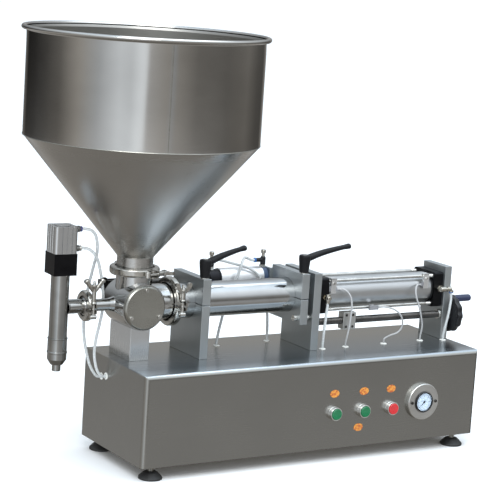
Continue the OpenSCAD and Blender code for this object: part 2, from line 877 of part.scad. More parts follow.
// Upright tube with a side port
module nozzle_body() {
  color("silver")
    difference() {
      translate([nozzle_x, 0, sleeve_low_z + 8]) cylinder(d = nozzle_d, h = spacer_low_z - sleeve_low_z - 8);
      translate([nozzle_x, 0, 0]) cylinder(d = nozzle_bore, h = spacer_low_z + 1);
      translate([nozzle_x, 0, axis_z]) rod_x(pipe_d / 2 - 1.5, 100);
    }
}

// Union nut over the tube's lower end
module nozzle_sleeve() {
  r = nozzle_d / 2;
  color("silver")
    translate([nozzle_x, 0, 0])
      rotate_extrude()
        polygon([[r, sleeve_low_z + 8], [r, sleeve_top_z], [r + 2, sleeve_top_z],
          [r + 2, sleeve_top_z - 2], [r + 1, sleeve_top_z - 2], [r + 1, sleeve_low_z + 8],
          [r + 2, sleeve_low_z + 8], [r + 2, sleeve_low_z + 5], [r + 1, sleeve_low_z + 5],
          [r + 1, 230], [13, 219], [13, 232], [r, 238]]);
}

// Spout with its seat
module nozzle_tip() {
  color("silver")
    translate([nozzle_x, 0, 0])
      rotate_extrude()
        polygon([[tip_bore_r, nozzle_tip_z], [9, nozzle_tip_z], [9, 219], [13, 219], [13, 232],
          [19, 238], [19, sleeve_low_z + 8], [16, sleeve_low_z + 8], [tip_bore_r, 228]]);
}

// Stem with a valve head at the seat and the piston of the nozzle's air cylinder
module nozzle_plunger() {
  seat_z = 229;
  color("gray")
    translate([nozzle_x, 0, 0]) {
      translate([0, 0, seat_z]) cylinder(r1 = 7.1, r2 = 10.6, h = 7);
      translate([0, 0, seat_z + 7 - eps]) cylinder(r = 5, h = 463 - seat_z - 7);
      translate([0, 0, 462]) cylinder(r = 15.9, h = 10);
    }
}

module nozzle_spacer() {
  color("black")
    difference() {
      translate([nozzle_x, 0, spacer_low_z]) rotate(nozzle_turn)
        translate([-nozzle_side / 2, -nozzle_side / 2, 0])
          cube([nozzle_side, nozzle_side, spacer_top_z - spacer_low_z]);
      translate([nozzle_x, 0, spacer_low_z - 1]) cylinder(r = 5.05, h = 60);
    }
}

// Compact cylinder: square tube with grooves and a closed top
module nozzle_cylinder() {
  half = nozzle_side / 2;
  color("lightgray")
    difference() {
      translate([nozzle_x, 0, spacer_top_z]) rotate(nozzle_turn)
        linear_extrude(nozzle_top_z - spacer_top_z)
          difference() {
            round_rect(nozzle_side, nozzle_side, 8);
            for (a = [0, 90, 180, 270])
              rotate(a)
                for (s = [-1, 1])
                  translate([half + 0.6, s * 9]) circle(r = 2.2);
          }
      translate([nozzle_x, 0, spacer_top_z + 8]) cylinder(r = 16, h = 40);
      translate([nozzle_x, 0, spacer_top_z - 1]) cylinder(r = 5.05, h = 20);
    }
}

// ---------- product cylinder ----------

module product_tube() {
  bore = tube_d / 2 - tube_wall;
  tube_end = end_plate_x + plate_t;
  color("silver") {
    difference() {
      union() {
        translate([cylinder_joint, 0, axis_z]) mirror([1, 0, 0])
          ferrule_x(ferrule_r, tube_d / 2, 20);
        translate([cylinder_joint + 10, 0, axis_z])
          rod_x(tube_d / 2, tube_end - cylinder_joint - 10);
      }
      translate([cylinder_joint - 1, 0, axis_z]) rod_x(bore, tube_end - cylinder_joint - 9);
      translate([tube_end - 30, 0, axis_z]) rod_x(rod_r + rod_gap, 40);
    }
  }
}

module product_piston() {
  r = tube_d / 2 - tube_wall - 0.1;
  color("white")
    difference() {
      translate([piston_x, 0, axis_z]) rod_x(r, piston_l);
      for (x = [7, piston_l - 12])
        translate([piston_x + x, 0, axis_z])
          rotate([0, 90, 0])
            rotate_extrude()
              translate([r - 3, 0]) square([5, 5]);
      translate([piston_x + 10, 0, axis_z]) rod_x(rod_r, piston_l);
    }
}

module piston_seals() {
  r = tube_d / 2 - tube_wall - 0.05;
  color("black")
    for (x = [7, piston_l - 12])
      translate([piston_x + x, 0, axis_z])
        rotate([0, 90, 0])
          rotate_extrude()
            translate([r - 2.95, 0]) square([2.95, 5]);
}

// Common rod of the product piston and the air piston
module piston_rod() {
  color("silver") {
    translate([piston_x + 10, 0, axis_z]) rod_x(rod_r, air_piston_x - piston_x - 10);
    translate([air_piston_x, 0, axis_z]) rod_x(barrel_bore / 2 - 0.1, air_piston_l);
  }
}

// ---------- air cylinder ----------

module air_cylinder_caps() {
  half = cap_side / 2;
  x0 = bulkhead_x + plate_t;
  color("black") {
    difference() {
      translate([x0, 0, axis_z])
        rotate([90, 0, 90]) linear_extrude(front_cap_l) round_rect(cap_side, cap_side, 5);
      translate([x0 - 1, 0, axis_z]) rod_x(rod_r + rod_gap, front_cap_l + 2);
      tie_rod_holes(x0 - 1, front_cap_l + 2);
    }
    difference() {
      translate([rear_cap_x, 0, axis_z])
        rotate([90, 0, 90]) linear_extrude(rear_cap_l) round_rect(cap_side, cap_side, 5);
      tie_rod_holes(rear_cap_x - 1, rear_cap_l + 2);
    }
  }
}

module tie_rod_holes(x, l) {
  for (sy = [-1, 1])
    for (sz = [-1, 1])
      translate([x, sy * tie_off(), axis_z + sz * tie_off()]) rod_x(4, l);
}

function tie_off() = cap_side / 2 - 8;

module air_barrel() {
  color("lightgray")
    difference() {
      translate([barrel_x, 0, axis_z]) rod_x(barrel_d / 2, rear_cap_x - barrel_x);
      translate([barrel_x - 1, 0, axis_z]) rod_x(barrel_bore / 2, rear_cap_x - barrel_x + 2);
    }
}

module tie_rods() {
  x0 = bulkhead_x + plate_t;
  color("silver")
    tie_rod_holes(x0, tail_x - x0);
}

// Two sensors on clips around the upper front tie rod and one under the lower front tie rod
module reed_switches() {
  t = tie_off();
  color("silver")
    for (x = [left + 527, left + 781])
      translate([x, -t, axis_z + t])
        difference() {
          translate([-7, -10, -27]) cube([14, 15, 34]);
          translate([-8, 0, 0]) rod_x(4, 16);
          translate([-8, -8, -28]) cube([16, 16, 18]);
        }
  color("dimgray")
    for (x = [left + 517, left + 769])
      translate([x, -t - 8, axis_z + 9.5]) cube([21, 4, 9]);
  color("dimgray") translate([left + 626, -t - 14, axis_z - t - 5]) cube([24, 6, 10]);
  color("silver")
    difference() {
      translate([left + 633, -t - 8, axis_z - t - 5]) cube([10, 13, 10]);
      translate([left + 632, 0, axis_z - t]) translate([0, -t, 0]) rod_x(4, 14);
    }
}

// Push-in fittings, speed controllers and the air inlet at the rear
module air_fittings() {
  color("silver") {
    for (z = [499, 459])
      translate([nozzle_x, 0, z]) rotate(nozzle_turn)
        translate([nozzle_side / 2, 0, 0]) fitting_x(nozzle_fitting_l);
    translate([bulkhead_x + plate_t + 24, -cap_side / 2, axis_z - 2]) {
      rotate([90, 0, 0]) cylinder(r = 7, h = 9, $fn = 6);
      translate([0, -14, -12]) cylinder(r = 6, h = 20);
    }
    translate([rear_cap_x + 12, -cap_side / 2, axis_z + 4]) {
      rotate([90, 0, 0]) cylinder(r = 7, h = 12, $fn = 6);
      translate([-7, -18, 0]) rod_x(6, 30);
    }
    translate([487, -58, axis_z - 4]) cylinder(r = 5.5, h = 4);
    difference() {
      for (x = [actuator_x + 15, actuator_x + 148])
        translate([x, crank_y, axis_z + crank_rise + 18]) {
          cylinder(r = 6, h = 28);
          translate([0, 0, 28]) cylinder(r = 3.5, h = 6);
          translate([0, 0, 34]) cylinder(r = 5.5, h = 8);
        }
      translate([actuator_x, crank_y, axis_z + crank_rise]) rod_x(21, 160);
    }
    translate([-62, crank_y, 404]) rotate([0, -90, 0]) cylinder(r = 5, h = 6);
    translate([40, crank_y, 400]) rod_x(5.5, 20);
    translate([right - 150, rear_y, foot_h + 60])
      difference() {
        union() {
          rod_y(11, 18);
          translate([0, -16, 0]) rod_y(8, 17);
        }
        translate([0, 2, 0]) rod_y(4, 20);
      }
  }
}

// Straight push-in fitting along X with a release collar
module fitting_x(l) {
  rotate([0, 90, 0]) {
    cylinder(r = 7.5, h = l - 6, $fn = 6);
    translate([0, 0, l - 6]) cylinder(r = 6.5, h = 6);
  }
}

// ---------- stroke setting ----------

module lead_screw() {
  x0 = bulkhead_x + plate_t;
  color("dimgray")
    translate([0, screw_y, screw_z]) {
      translate([x0 - 8, 0, 0]) rod_x(6, 10);
      translate([x0 + 1, 0, 0]) rod_x(screw_d / 2, tail_x - x0 - 2);
      translate([tail_x - 8, 0, 0]) rod_x(11, 6);
      translate([tail_x - 2, 0, 0]) rod_x(6, tail_t + 24);
    }
}

// Lobed handwheel on the screw's end
module handwheel() {
  x0 = tail_x + tail_t + 1;
  lobes = 12;
  color("black")
    difference() {
      union() {
        translate([x0, screw_y, screw_z]) rod_x(15, 22);
        translate([x0 + 4, screw_y, screw_z]) rod_x(wheel_d / 2 - 3, 15);
        for (i = [0:lobes - 1])
          translate([x0 + 4, screw_y, screw_z])
            rotate([i * 360 / lobes, 0, 0])
              translate([0, wheel_d / 2 - 6, 0]) rod_x(6, 15);
      }
      translate([x0 - 1, screw_y, screw_z]) rod_x(6, 40);
      translate([x0 + 12, screw_y, screw_z])
        difference() {
          rod_x(wheel_d / 2 - 12, 8);
          translate([-1, 0, 0]) rod_x(16, 10);
          translate([-1, 0, grip_r]) rod_x(9, 10);
        }
      translate([x0 + 6, screw_y, screw_z + grip_r]) rod_x(3, 20);
    }
  color("silver")
    translate([x0 + 6, screw_y, screw_z + grip_r]) rod_x(3, right + wheel_reach - 3 - x0 - 6);
}

// Handle that turns on the wheel's crank pin
module crank_grip() {
  x0 = tail_x + tail_t + 20.2;
  l = right + wheel_reach - x0;
  color("midnightblue")
    translate([x0, screw_y, screw_z + grip_r])
      rotate([0, 90, 0])
        rotate_extrude()
          polygon([[3.05, 0], [6, 0], [8, 6], [8, l - 4], [6, l], [0, l], [0, l - 2.5],
            [3.05, l - 2.5]]);
}

// Block that travels on the lead screw below the barrel
module stroke_nut() {
  color("silver")
    difference() {
      translate([nut_x, screw_y - 10.5, screw_z - 19]) cube([nut_l, 21, 38]);
      translate([nut_x - 1, screw_y, screw_z]) rod_x(screw_d / 2 + 0.05, nut_l + 2);
      for (dx = [8, 25])
        for (dz = [-13, 13])
          translate([nut_x + dx, screw_y - 12, screw_z + dz]) rod_y(2, 6);
    }
}

// ---------- air lines and cables ----------

module nozzle_air_lines() {
  color("whitesmoke") {
    swept_tube(nozzle_route_upper, line_r);
    swept_tube(nozzle_route_lower, line_r);
  }
}

module actuator_air_lines() {
  color("whitesmoke") {
    swept_tube(actuator_route_rear, line_r);
    swept_tube(actuator_route_front, line_r);
  }
}

module cylinder_air_lines() {
  color("whitesmoke") {
    swept_tube(cylinder_route_front, line_r);
    swept_tube(cylinder_route_rear, line_r);
  }
}

module sensor_cables() {
  color("gray") {
    swept_tube(cable_route_front, cable_r);
    swept_tube(cable_route_middle, cable_r);
    swept_tube(cable_route_rear, cable_r);
  }
}

housing();
base_plate();
levelling_feet();
panel_labels();
button_bezels();
green_button_left();
green_button_right();
red_button();
gauge_flange();
gauge_case();
gauge_needle();
gauge_glass();
valve_bank();
deck_grommets();
support_block();
tube_clamp_plate();
tube_end_plate();
bulkhead_plate();
tail_plate();
cap_screws();
clamp_lever_left();
clamp_lever_right();
hopper();
clamp_rings();
gaskets();
swing_bolts();
hopper_wing_nut();
cylinder_wing_nut();
outlet_wing_nut();
valve_body();
valve_covers();
valve_rotor();
crank_arm();
outlet_pipe();
nozzle_body();
nozzle_sleeve();
nozzle_tip();
nozzle_plunger();
nozzle_spacer();
nozzle_cylinder();
product_tube();
product_piston();
piston_seals();
piston_rod();
air_cylinder_caps();
air_barrel();
tie_rods();
reed_switches();
air_fittings();
lead_screw();
handwheel();
crank_grip();
stroke_nut();
valve_actuator();
actuator_rod();
actuator_bracket();
nozzle_air_lines();
actuator_air_lines();
cylinder_air_lines();
sensor_cables();
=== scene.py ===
"""Piston liquid filler: materials, detailed pieces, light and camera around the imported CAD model."""

from math import cos, pi, radians, sin, sqrt

import bmesh
import bpy
from mathutils import Matrix, Vector, noise


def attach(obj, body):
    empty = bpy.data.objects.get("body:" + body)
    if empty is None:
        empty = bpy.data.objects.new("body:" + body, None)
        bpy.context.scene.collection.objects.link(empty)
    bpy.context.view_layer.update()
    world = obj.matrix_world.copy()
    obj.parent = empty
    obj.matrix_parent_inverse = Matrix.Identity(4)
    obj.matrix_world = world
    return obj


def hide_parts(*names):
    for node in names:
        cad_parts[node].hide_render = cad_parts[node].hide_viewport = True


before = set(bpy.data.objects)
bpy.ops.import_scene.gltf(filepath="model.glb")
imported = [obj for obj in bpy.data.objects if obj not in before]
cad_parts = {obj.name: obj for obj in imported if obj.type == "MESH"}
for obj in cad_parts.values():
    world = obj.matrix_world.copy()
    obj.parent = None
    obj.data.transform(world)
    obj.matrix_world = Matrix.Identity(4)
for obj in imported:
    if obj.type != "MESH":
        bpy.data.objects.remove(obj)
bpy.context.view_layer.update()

MM = 0.001
X, Y, Z, FORWARD = (1, 0, 0), (0, 1, 0), (0, 0, 1), (0, -1, 0)

# Stations in millimetres, as in the CAD source
LEFT, RIGHT = -355.1, 494.9
FRONT, REAR = -166.5, 113.5
DECK, AXIS = 223.0, 338.0
HOPPER_X, NOZZLE_X = -305.1, -475.1
OUTLET_JOINT, CYLINDER_JOINT, HOPPER_JOINT = -415.1, -219.1, 409.0
BULKHEAD_X, TAIL_X, END_PLATE_X, CLAMP_PLATE_X = 106.9, 474.9, 74.9, -175.1
PLATE_T, PLATE_TOP = 19, 394.0
BARREL_X, REAR_CAP_X = 160.9, 450.9
CRANK_Y, ACTUATOR_X, ACTUATOR_Z = 85.0, -85.0, 363.0
SCREW_Y, SCREW_Z = -36.0, 280.0
BUTTONS = (108.9, 183.9, 258.9)
BUTTON_Z, GAUGE_X, GAUGE_Z = 109.0, 342.9, 117.0
FERRULE_R, SMALL_FERRULE_R = 45.5, 25.25
TUBE_R, PIPE_R, LINE_BORE = 38, 19, 3.05
TIE = 32.0
TIE_ENDS = [(sy * TIE, AXIS + sz * TIE) for sy in (-1, 1) for sz in (-1, 1)]
NOZZLE_TURN = -2.5

# ---- materials


def new_material(name):
    m = bpy.data.materials.new(name)
    m.use_nodes = True
    return m, m.node_tree, m.node_tree.nodes["Principled BSDF"]


def feed(t, n, inputs):
    """Gives each named input of a node a constant or another node's output"""
    for key, value in inputs.items():
        if isinstance(value, bpy.types.NodeSocket):
            t.links.new(value, n.inputs[key])
        else:
            n.inputs[key].default_value = value


def node(t, kind, inputs, **settings):
    """Outputs of a new shader node"""
    n = t.nodes.new("ShaderNode" + kind)
    for key, value in settings.items():
        setattr(n, key, value)
    feed(t, n, inputs)
    return n.outputs


def calc(t, operation, *values):
    return node(t, "Math", dict(enumerate(values)), operation=operation)[0]


def position(t, space="Object"):
    """X, Y and Z outputs of the point being shaded"""
    return node(t, "SeparateXYZ", {"Vector": node(t, "TexCoord", {})[space]})


def grain(t, scale, detail=4.0, rough=0.6):
    """Noise in object space, its scale one number or one for each axis"""
    scale = scale if isinstance(scale, tuple) else (scale, scale, scale)
    at = node(t, "Mapping", {"Vector": node(t, "TexCoord", {})["Object"], "Scale": scale})["Vector"]
    return node(t, "TexNoise", {"Vector": at, "Scale": 1.0, "Detail": detail, "Roughness": rough})["Fac"]


def spread(t, fac, lo, hi, a=0.3, b=0.7):
    """Maps a factor from a..b to lo..hi"""
    limits = {"From Min": a, "From Max": b, "To Min": lo, "To Max": hi}
    return node(t, "MapRange", {"Value": fac, **limits})["Result"]


def blend(t, fac, a, b):
    """Colour a where the factor is 0 and b where it is 1, each a tuple or an output"""
    a, b = [(*c, 1) if isinstance(c, tuple) else c for c in (a, b)]
    return node(t, "Mix", {"Factor": fac, "A": a, "B": b}, data_type="RGBA")["Result"]


def clouded(t, fac, colour, tone):
    """A colour made darker and lighter by a share"""
    dark, light = [tuple(min(1.0, c * (1 + share)) for c in colour) for share in (-tone, tone)]
    return blend(t, spread(t, fac, 0, 1), dark, light)


def bumps(t, fac, strength, distance=0.0004):
    return node(t, "Bump", {"Strength": strength, "Distance": distance, "Height": fac})["Normal"]


def metal(name, colour, rough, fine, cloud, tone, jitter, bump):
    """Metal with fine grain in roughness and bump, and broad clouds in colour"""
    m, t, shader = new_material(name)
    big = grain(t, (cloud, cloud, cloud * 1.4), 3.0, 0.55)
    skin = grain(t, fine, 5.0, 0.65)
    fine_rough = spread(t, skin, rough - jitter, rough + jitter)
    feed(t, shader, {"Metallic": 1.0, "Base Color": clouded(t, big, colour, tone),
                     "Roughness": calc(t, "ADD", fine_rough, spread(t, big, -0.03, 0.03)),
                     "Normal": bumps(t, skin, bump)})
    return m


def plastic(name, colour, rough, fine=700, bump=0.12, tone=0.15, spec=0.5, coat=0.0, through=0.0):
    """Moulded plastic or rubber with a fine skin and slight colour clouds"""
    m, t, shader = new_material(name)
    skin = grain(t, fine, 3.0)
    feed(t, shader, {"Specular IOR Level": spec, "Coat Weight": coat, "Transmission Weight": through,
                     "Base Color": clouded(t, grain(t, 20, 3.0), colour, tone),
                     "Roughness": spread(t, skin, rough - 0.06, rough + 0.06),
                     "Normal": bumps(t, skin, bump)})
    return m


# Colour, roughness, scale of grain, scale of clouds, tone, jitter of roughness, bump
METALS = {
    "hopper": ((0.5, 0.49, 0.47), 0.12, (60, 60, 1600), 4, 0.1, 0.03, 0.03),
    "inside": ((0.37, 0.362, 0.34), 0.38, (60, 60, 1600), 4, 0.1, 0.05, 0.03),
    "housing": ((0.33, 0.325, 0.305), 0.24, (14, 900, 1500), 5, 0.05, 0.04, 0.02),
    "polished": ((0.46, 0.46, 0.45), 0.14, 900, 14, 0.14, 0.05, 0.04),
    "pipe": ((0.31, 0.31, 0.3), 0.09, (600, 600, 40), 14, 0.12, 0.03, 0.02),
    "block": ((0.72, 0.735, 0.74), 0.24, (700, 700, 60), 14, 0.06, 0.05, 0.04),
    "tube": ((0.44, 0.445, 0.445), 0.14, (1500, 40, 40), 12, 0.1, 0.04, 0.03),
    "satin": ((0.4, 0.395, 0.36), 0.28, 900, 14, 0.1, 0.06, 0.08),
    "plate": ((0.48, 0.51, 0.52), 0.44, (900, 900, 60), 12, 0.05, 0.05, 0.05),
    "bright": ((0.66, 0.66, 0.64), 0.36, 700, 20, 0.08, 0.06, 0.08),
    "cast": ((0.46, 0.445, 0.41), 0.2, 260, 40, 0.28, 0.1, 0.4),
    "screw": ((0.6, 0.59, 0.56), 0.24, 600, 30, 0.18, 0.08, 0.12),
    "dark_steel": ((0.1, 0.095, 0.09), 0.34, 600, 30, 0.25, 0.1, 0.2),
    "chrome": ((0.92, 0.92, 0.91), 0.2, 700, 30, 0.04, 0.05, 0.03),
    "nickel": ((0.5, 0.475, 0.42), 0.2, 600, 40, 0.16, 0.08, 0.06),
    "profile": ((0.64, 0.65, 0.655), 0.26, (500, 500, 6), 9, 0.03, 0.04, 0.012),
    "brass": ((0.62, 0.56, 0.44), 0.22, 600, 40, 0.12, 0.08, 0.06),
    "barrel": ((0.54, 0.55, 0.555), 0.4, (30, 900, 900), 12, 0.04, 0.05, 0.02),
    "aluminium": ((0.56, 0.57, 0.575), 0.24, (900, 900, 40), 18, 0.05, 0.05, 0.02),
    "strap": ((0.8, 0.8, 0.8), 0.45, 900, 30, 0.08, 0.06, 0.1),
    "anodised": ((0.022, 0.022, 0.024), 0.38, 900, 20, 0.25, 0.06, 0.15),
    "dull": ((0.24, 0.24, 0.23), 0.3, 600, 30, 0.2, 0.08, 0.1),
}
# Colour, roughness, then scale of skin, bump, tone, specular level, coat and transmission
PLASTICS = {
    "white": ((0.8, 0.8, 0.76), 0.45),
    "line": ((0.66, 0.68, 0.68), 0.25, 300, 0.02, 0.05, 0.5, 0.0, 0.2),
    "cable": ((0.42, 0.42, 0.42), 0.45),
    "rubber": ((0.022, 0.022, 0.022), 0.55, 500, 0.3, 0.3),
    "black": ((0.008, 0.008, 0.009), 0.42, 900, 0.08, 0.3, 0.2),
    "black_gloss": ((0.012, 0.012, 0.014), 0.28, 500, 0.08, 0.3, 0.35),
    "blue_black": ((0.020, 0.026, 0.060), 0.2, 500, 0.08, 0.3),
    "blue": ((0.02, 0.14, 0.46), 0.35),
    "violet": ((0.06, 0.06, 0.16), 0.35),
    "blue_cap": ((0.045, 0.072, 0.13), 0.38, 500, 0.1, 0.15, 0.35),
    "green": ((0.006, 0.135, 0.05), 0.25, 500, 0.06, 0.15, 0.5, 0.3),
    "red": ((0.5, 0.022, 0.026), 0.25, 500, 0.06, 0.12, 0.5, 0.3),
    "grey": ((0.22, 0.22, 0.23), 0.45),
}


def paint_light_on_housing(m):
    """Paints reflections into the deck's colour: cooler towards the front and browner towards the back, with
    a painted highlight along the front fold
    """
    t = m.node_tree
    base = t.nodes["Principled BSDF"].inputs["Base Color"]
    at = position(t)
    # Painted reflection: the top face is tinted cooler towards the front and browner towards the back
    deck = blend(t, spread(t, at["Y"], 0, 1, -0.13, 0.05), (0.28, 0.315, 0.345), (0.36, 0.33, 0.28))
    # Painted highlight: a pale blue band along the front fold of the deck
    fold = blend(t, spread(t, at["Y"], 0, 1, -0.118, -0.158), deck, (0.62, 0.69, 0.75))
    sides = base.links[0].from_socket
    # Only the top face takes the painted reflection and highlight; the sides keep the plain steel colour
    t.links.new(blend(t, spread(t, at["Z"], 0, 1, 0.2195, 0.2225), sides, fold), base)


def shade_hopper(m):
    """Keeps the drum a mirror and makes the cone below it duller"""
    t = m.node_tree
    rough = t.nodes["Principled BSDF"].inputs["Roughness"]
    dull = spread(t, position(t)["Z"], 0.17, 0, 0.660, 0.692)
    t.links.new(calc(t, "ADD", rough.links[0].from_socket, dull), rough)


def label_material():
    m, t, shader = new_material("label")
    spots = spread(t, grain(t, 210, 1.0), 0, 1, 0.46, 0.58)
    skin = grain(t, 700)
    feed(t, shader, {"Base Color": blend(t, spots, (0.64, 0.26, 0.035), (0.4, 0.09, 0.02)),
                     "Roughness": spread(t, skin, 0.38, 0.52), "Normal": bumps(t, skin, 0.08, 0.0003)})
    return m


def dial_material():
    """Pale dial whose ticks come from the angle and radius about its centre"""
    m, t, shader = new_material("dial")
    at = position(t)
    dx, dz = calc(t, "SUBTRACT", at["X"], GAUGE_X * MM), calc(t, "SUBTRACT", at["Z"], GAUGE_Z * MM)
    radius = calc(t, "SQRT", calc(t, "ADD", calc(t, "MULTIPLY", dx, dx), calc(t, "MULTIPLY", dz, dz)))
    angle = calc(t, "ARCTAN2", dx, dz)

    def ticks(count, width, inner, outer=0.0178):
        turn = calc(t, "MULTIPLY", calc(t, "ADD", angle, pi), count / (2 * pi))
        on_tick = calc(t, "LESS_THAN", calc(t, "FRACT", turn), width)
        outside, inside = calc(t, "GREATER_THAN", radius, inner), calc(t, "LESS_THAN", radius, outer)
        return calc(t, "MULTIPLY", on_tick, calc(t, "MULTIPLY", outside, inside))

    scale = calc(t, "LESS_THAN", calc(t, "ABSOLUTE", angle), 2.36)
    ink = calc(t, "MULTIPLY", calc(t, "MAXIMUM", ticks(40, 0.22, 0.0148), ticks(8, 0.07, 0.0118)), scale)
    feed(t, shader, {"Base Color": blend(t, ink, (0.66, 0.74, 0.84), (0.03, 0.035, 0.05)), "Roughness": 0.35})
    return m


def glass_material():
    m, t, shader = new_material("window")
    haze = grain(t, 40)
    feed(t, shader, {"Base Color": blend(t, haze, (0.93, 0.97, 1.0), (0.97, 0.99, 1.0)), "IOR": 1.1,
                     "Roughness": spread(t, haze, 0.02, 0.06), "Transmission Weight": 1.0})
    return m


M = {name: metal(name, *values) for name, values in METALS.items()}
M |= {name: plastic(name, *values) for name, values in PLASTICS.items()}
M |= {"label": label_material(), "dial": dial_material(), "window": glass_material()}
paint_light_on_housing(M["housing"])
shade_hopper(M["hopper"])

# ---- mesh tools


def shift(x, y, z):
    return Matrix.Translation((x, y, z))


def spin(degrees, axis="Z"):
    return Matrix.Rotation(radians(degrees), 4, axis)


def stepped(*steps):
    """Outline with square steps: a radius, then a height and a radius in turn"""
    return [(steps[i + i % 2], steps[i + 1 - i % 2]) for i in range(len(steps) - 1)]


def chamfered(r, h, cut=1):
    """Outline of a disc whose far rim is cut"""
    return [(0, 0), (r, 0), (r, h - cut), (r - cut, h), (0, h)]


def circle(q, h, r, n, start=0, sweep=360):
    """Points round a circle at (q, h), as an outline"""
    return [(q + r * cos(a), h + r * sin(a)) for a in (radians(start + sweep * i / n) for i in range(n))]


def rounded(pts, r, n=3):
    """Closed outline with its corners rounded"""
    out = []
    for i, point in enumerate(pts):
        p = Vector(point)
        a, b = Vector(pts[i - 1]) - p, Vector(pts[(i + 1) % len(pts)]) - p
        if a.length < 1e-6 or b.length < 1e-6:
            continue
        straight = max(-1.0, min(1.0, a.normalized().dot(b.normalized()))) < -0.985
        if p.x < 1e-6 or straight:
            out.append(tuple(p))
            continue
        d = min(r, a.length * 0.45, b.length * 0.45)
        p0, p1 = p + a.normalized() * d, p + b.normalized() * d
        for j in range(n + 1):
            s = j / n
            out.append(tuple(p0 * (1 - s) ** 2 + p * 2 * s * (1 - s) + p1 * s ** 2))
    return out


def basis(z, x=None):
    z = Vector(z).normalized()
    x = Vector(x or (X if abs(z.x) < 0.9 else Y))
    x = (x - z * x.dot(z)).normalized()
    return x, z.cross(x), z


def place(o=(0, 0, 0), z=Z, x=None):
    """Matrix that puts local z, and local x if given, along a direction at o"""
    m = Matrix(basis(z, x)).transposed().to_4x4()
    m.translation = Vector(o)
    return m


def skin(b, rings):
    """Closes a row of rings with faces and returns the two end faces"""
    k = len(rings[0])
    for p0, p1 in zip(rings, rings[1:]):
        for i in range(k):
            b.faces.new((p0[i], p0[(i + 1) % k], p1[(i + 1) % k], p1[i]))
    return b.faces.new(rings[0][::-1]), b.faces.new(rings[-1])


def put(name, data):
    ob = bpy.data.objects.new(name, data)
    bpy.context.scene.collection.objects.link(ob)
    return ob


def dress(name, mat):
    """Gives a CAD node a material. Its shape stays as it is"""
    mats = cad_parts[name].data.materials
    mats.clear()
    mats.append(M[mat])


def register(name, bm, mats, smooth, body, nodes):
    """Makes a bmesh a smooth piece on a body, in place of CAD nodes"""
    for f in bm.faces:
        f.smooth = True
    me = bpy.data.meshes.new(name)
    bm.to_mesh(me)
    bm.free()
    for mat in mats:
        me.materials.append(M[mat])
    me.set_sharp_from_angle(angle=radians(smooth))
    ob = put(name, me)
    ob.modifiers.new("normals", "WEIGHTED_NORMAL").keep_sharp = True
    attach(ob, body)
    if nodes:
        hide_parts(*nodes)
    for node_name in nodes:
        dress(node_name, mats[0])


def bevel_edges(bm, edges, offset, seg=2, clamp=False):
    bmesh.ops.bevel(bm, geom=edges, offset=offset, segments=seg, affect="EDGES", profile=0.6,
                    clamp_overlap=clamp)


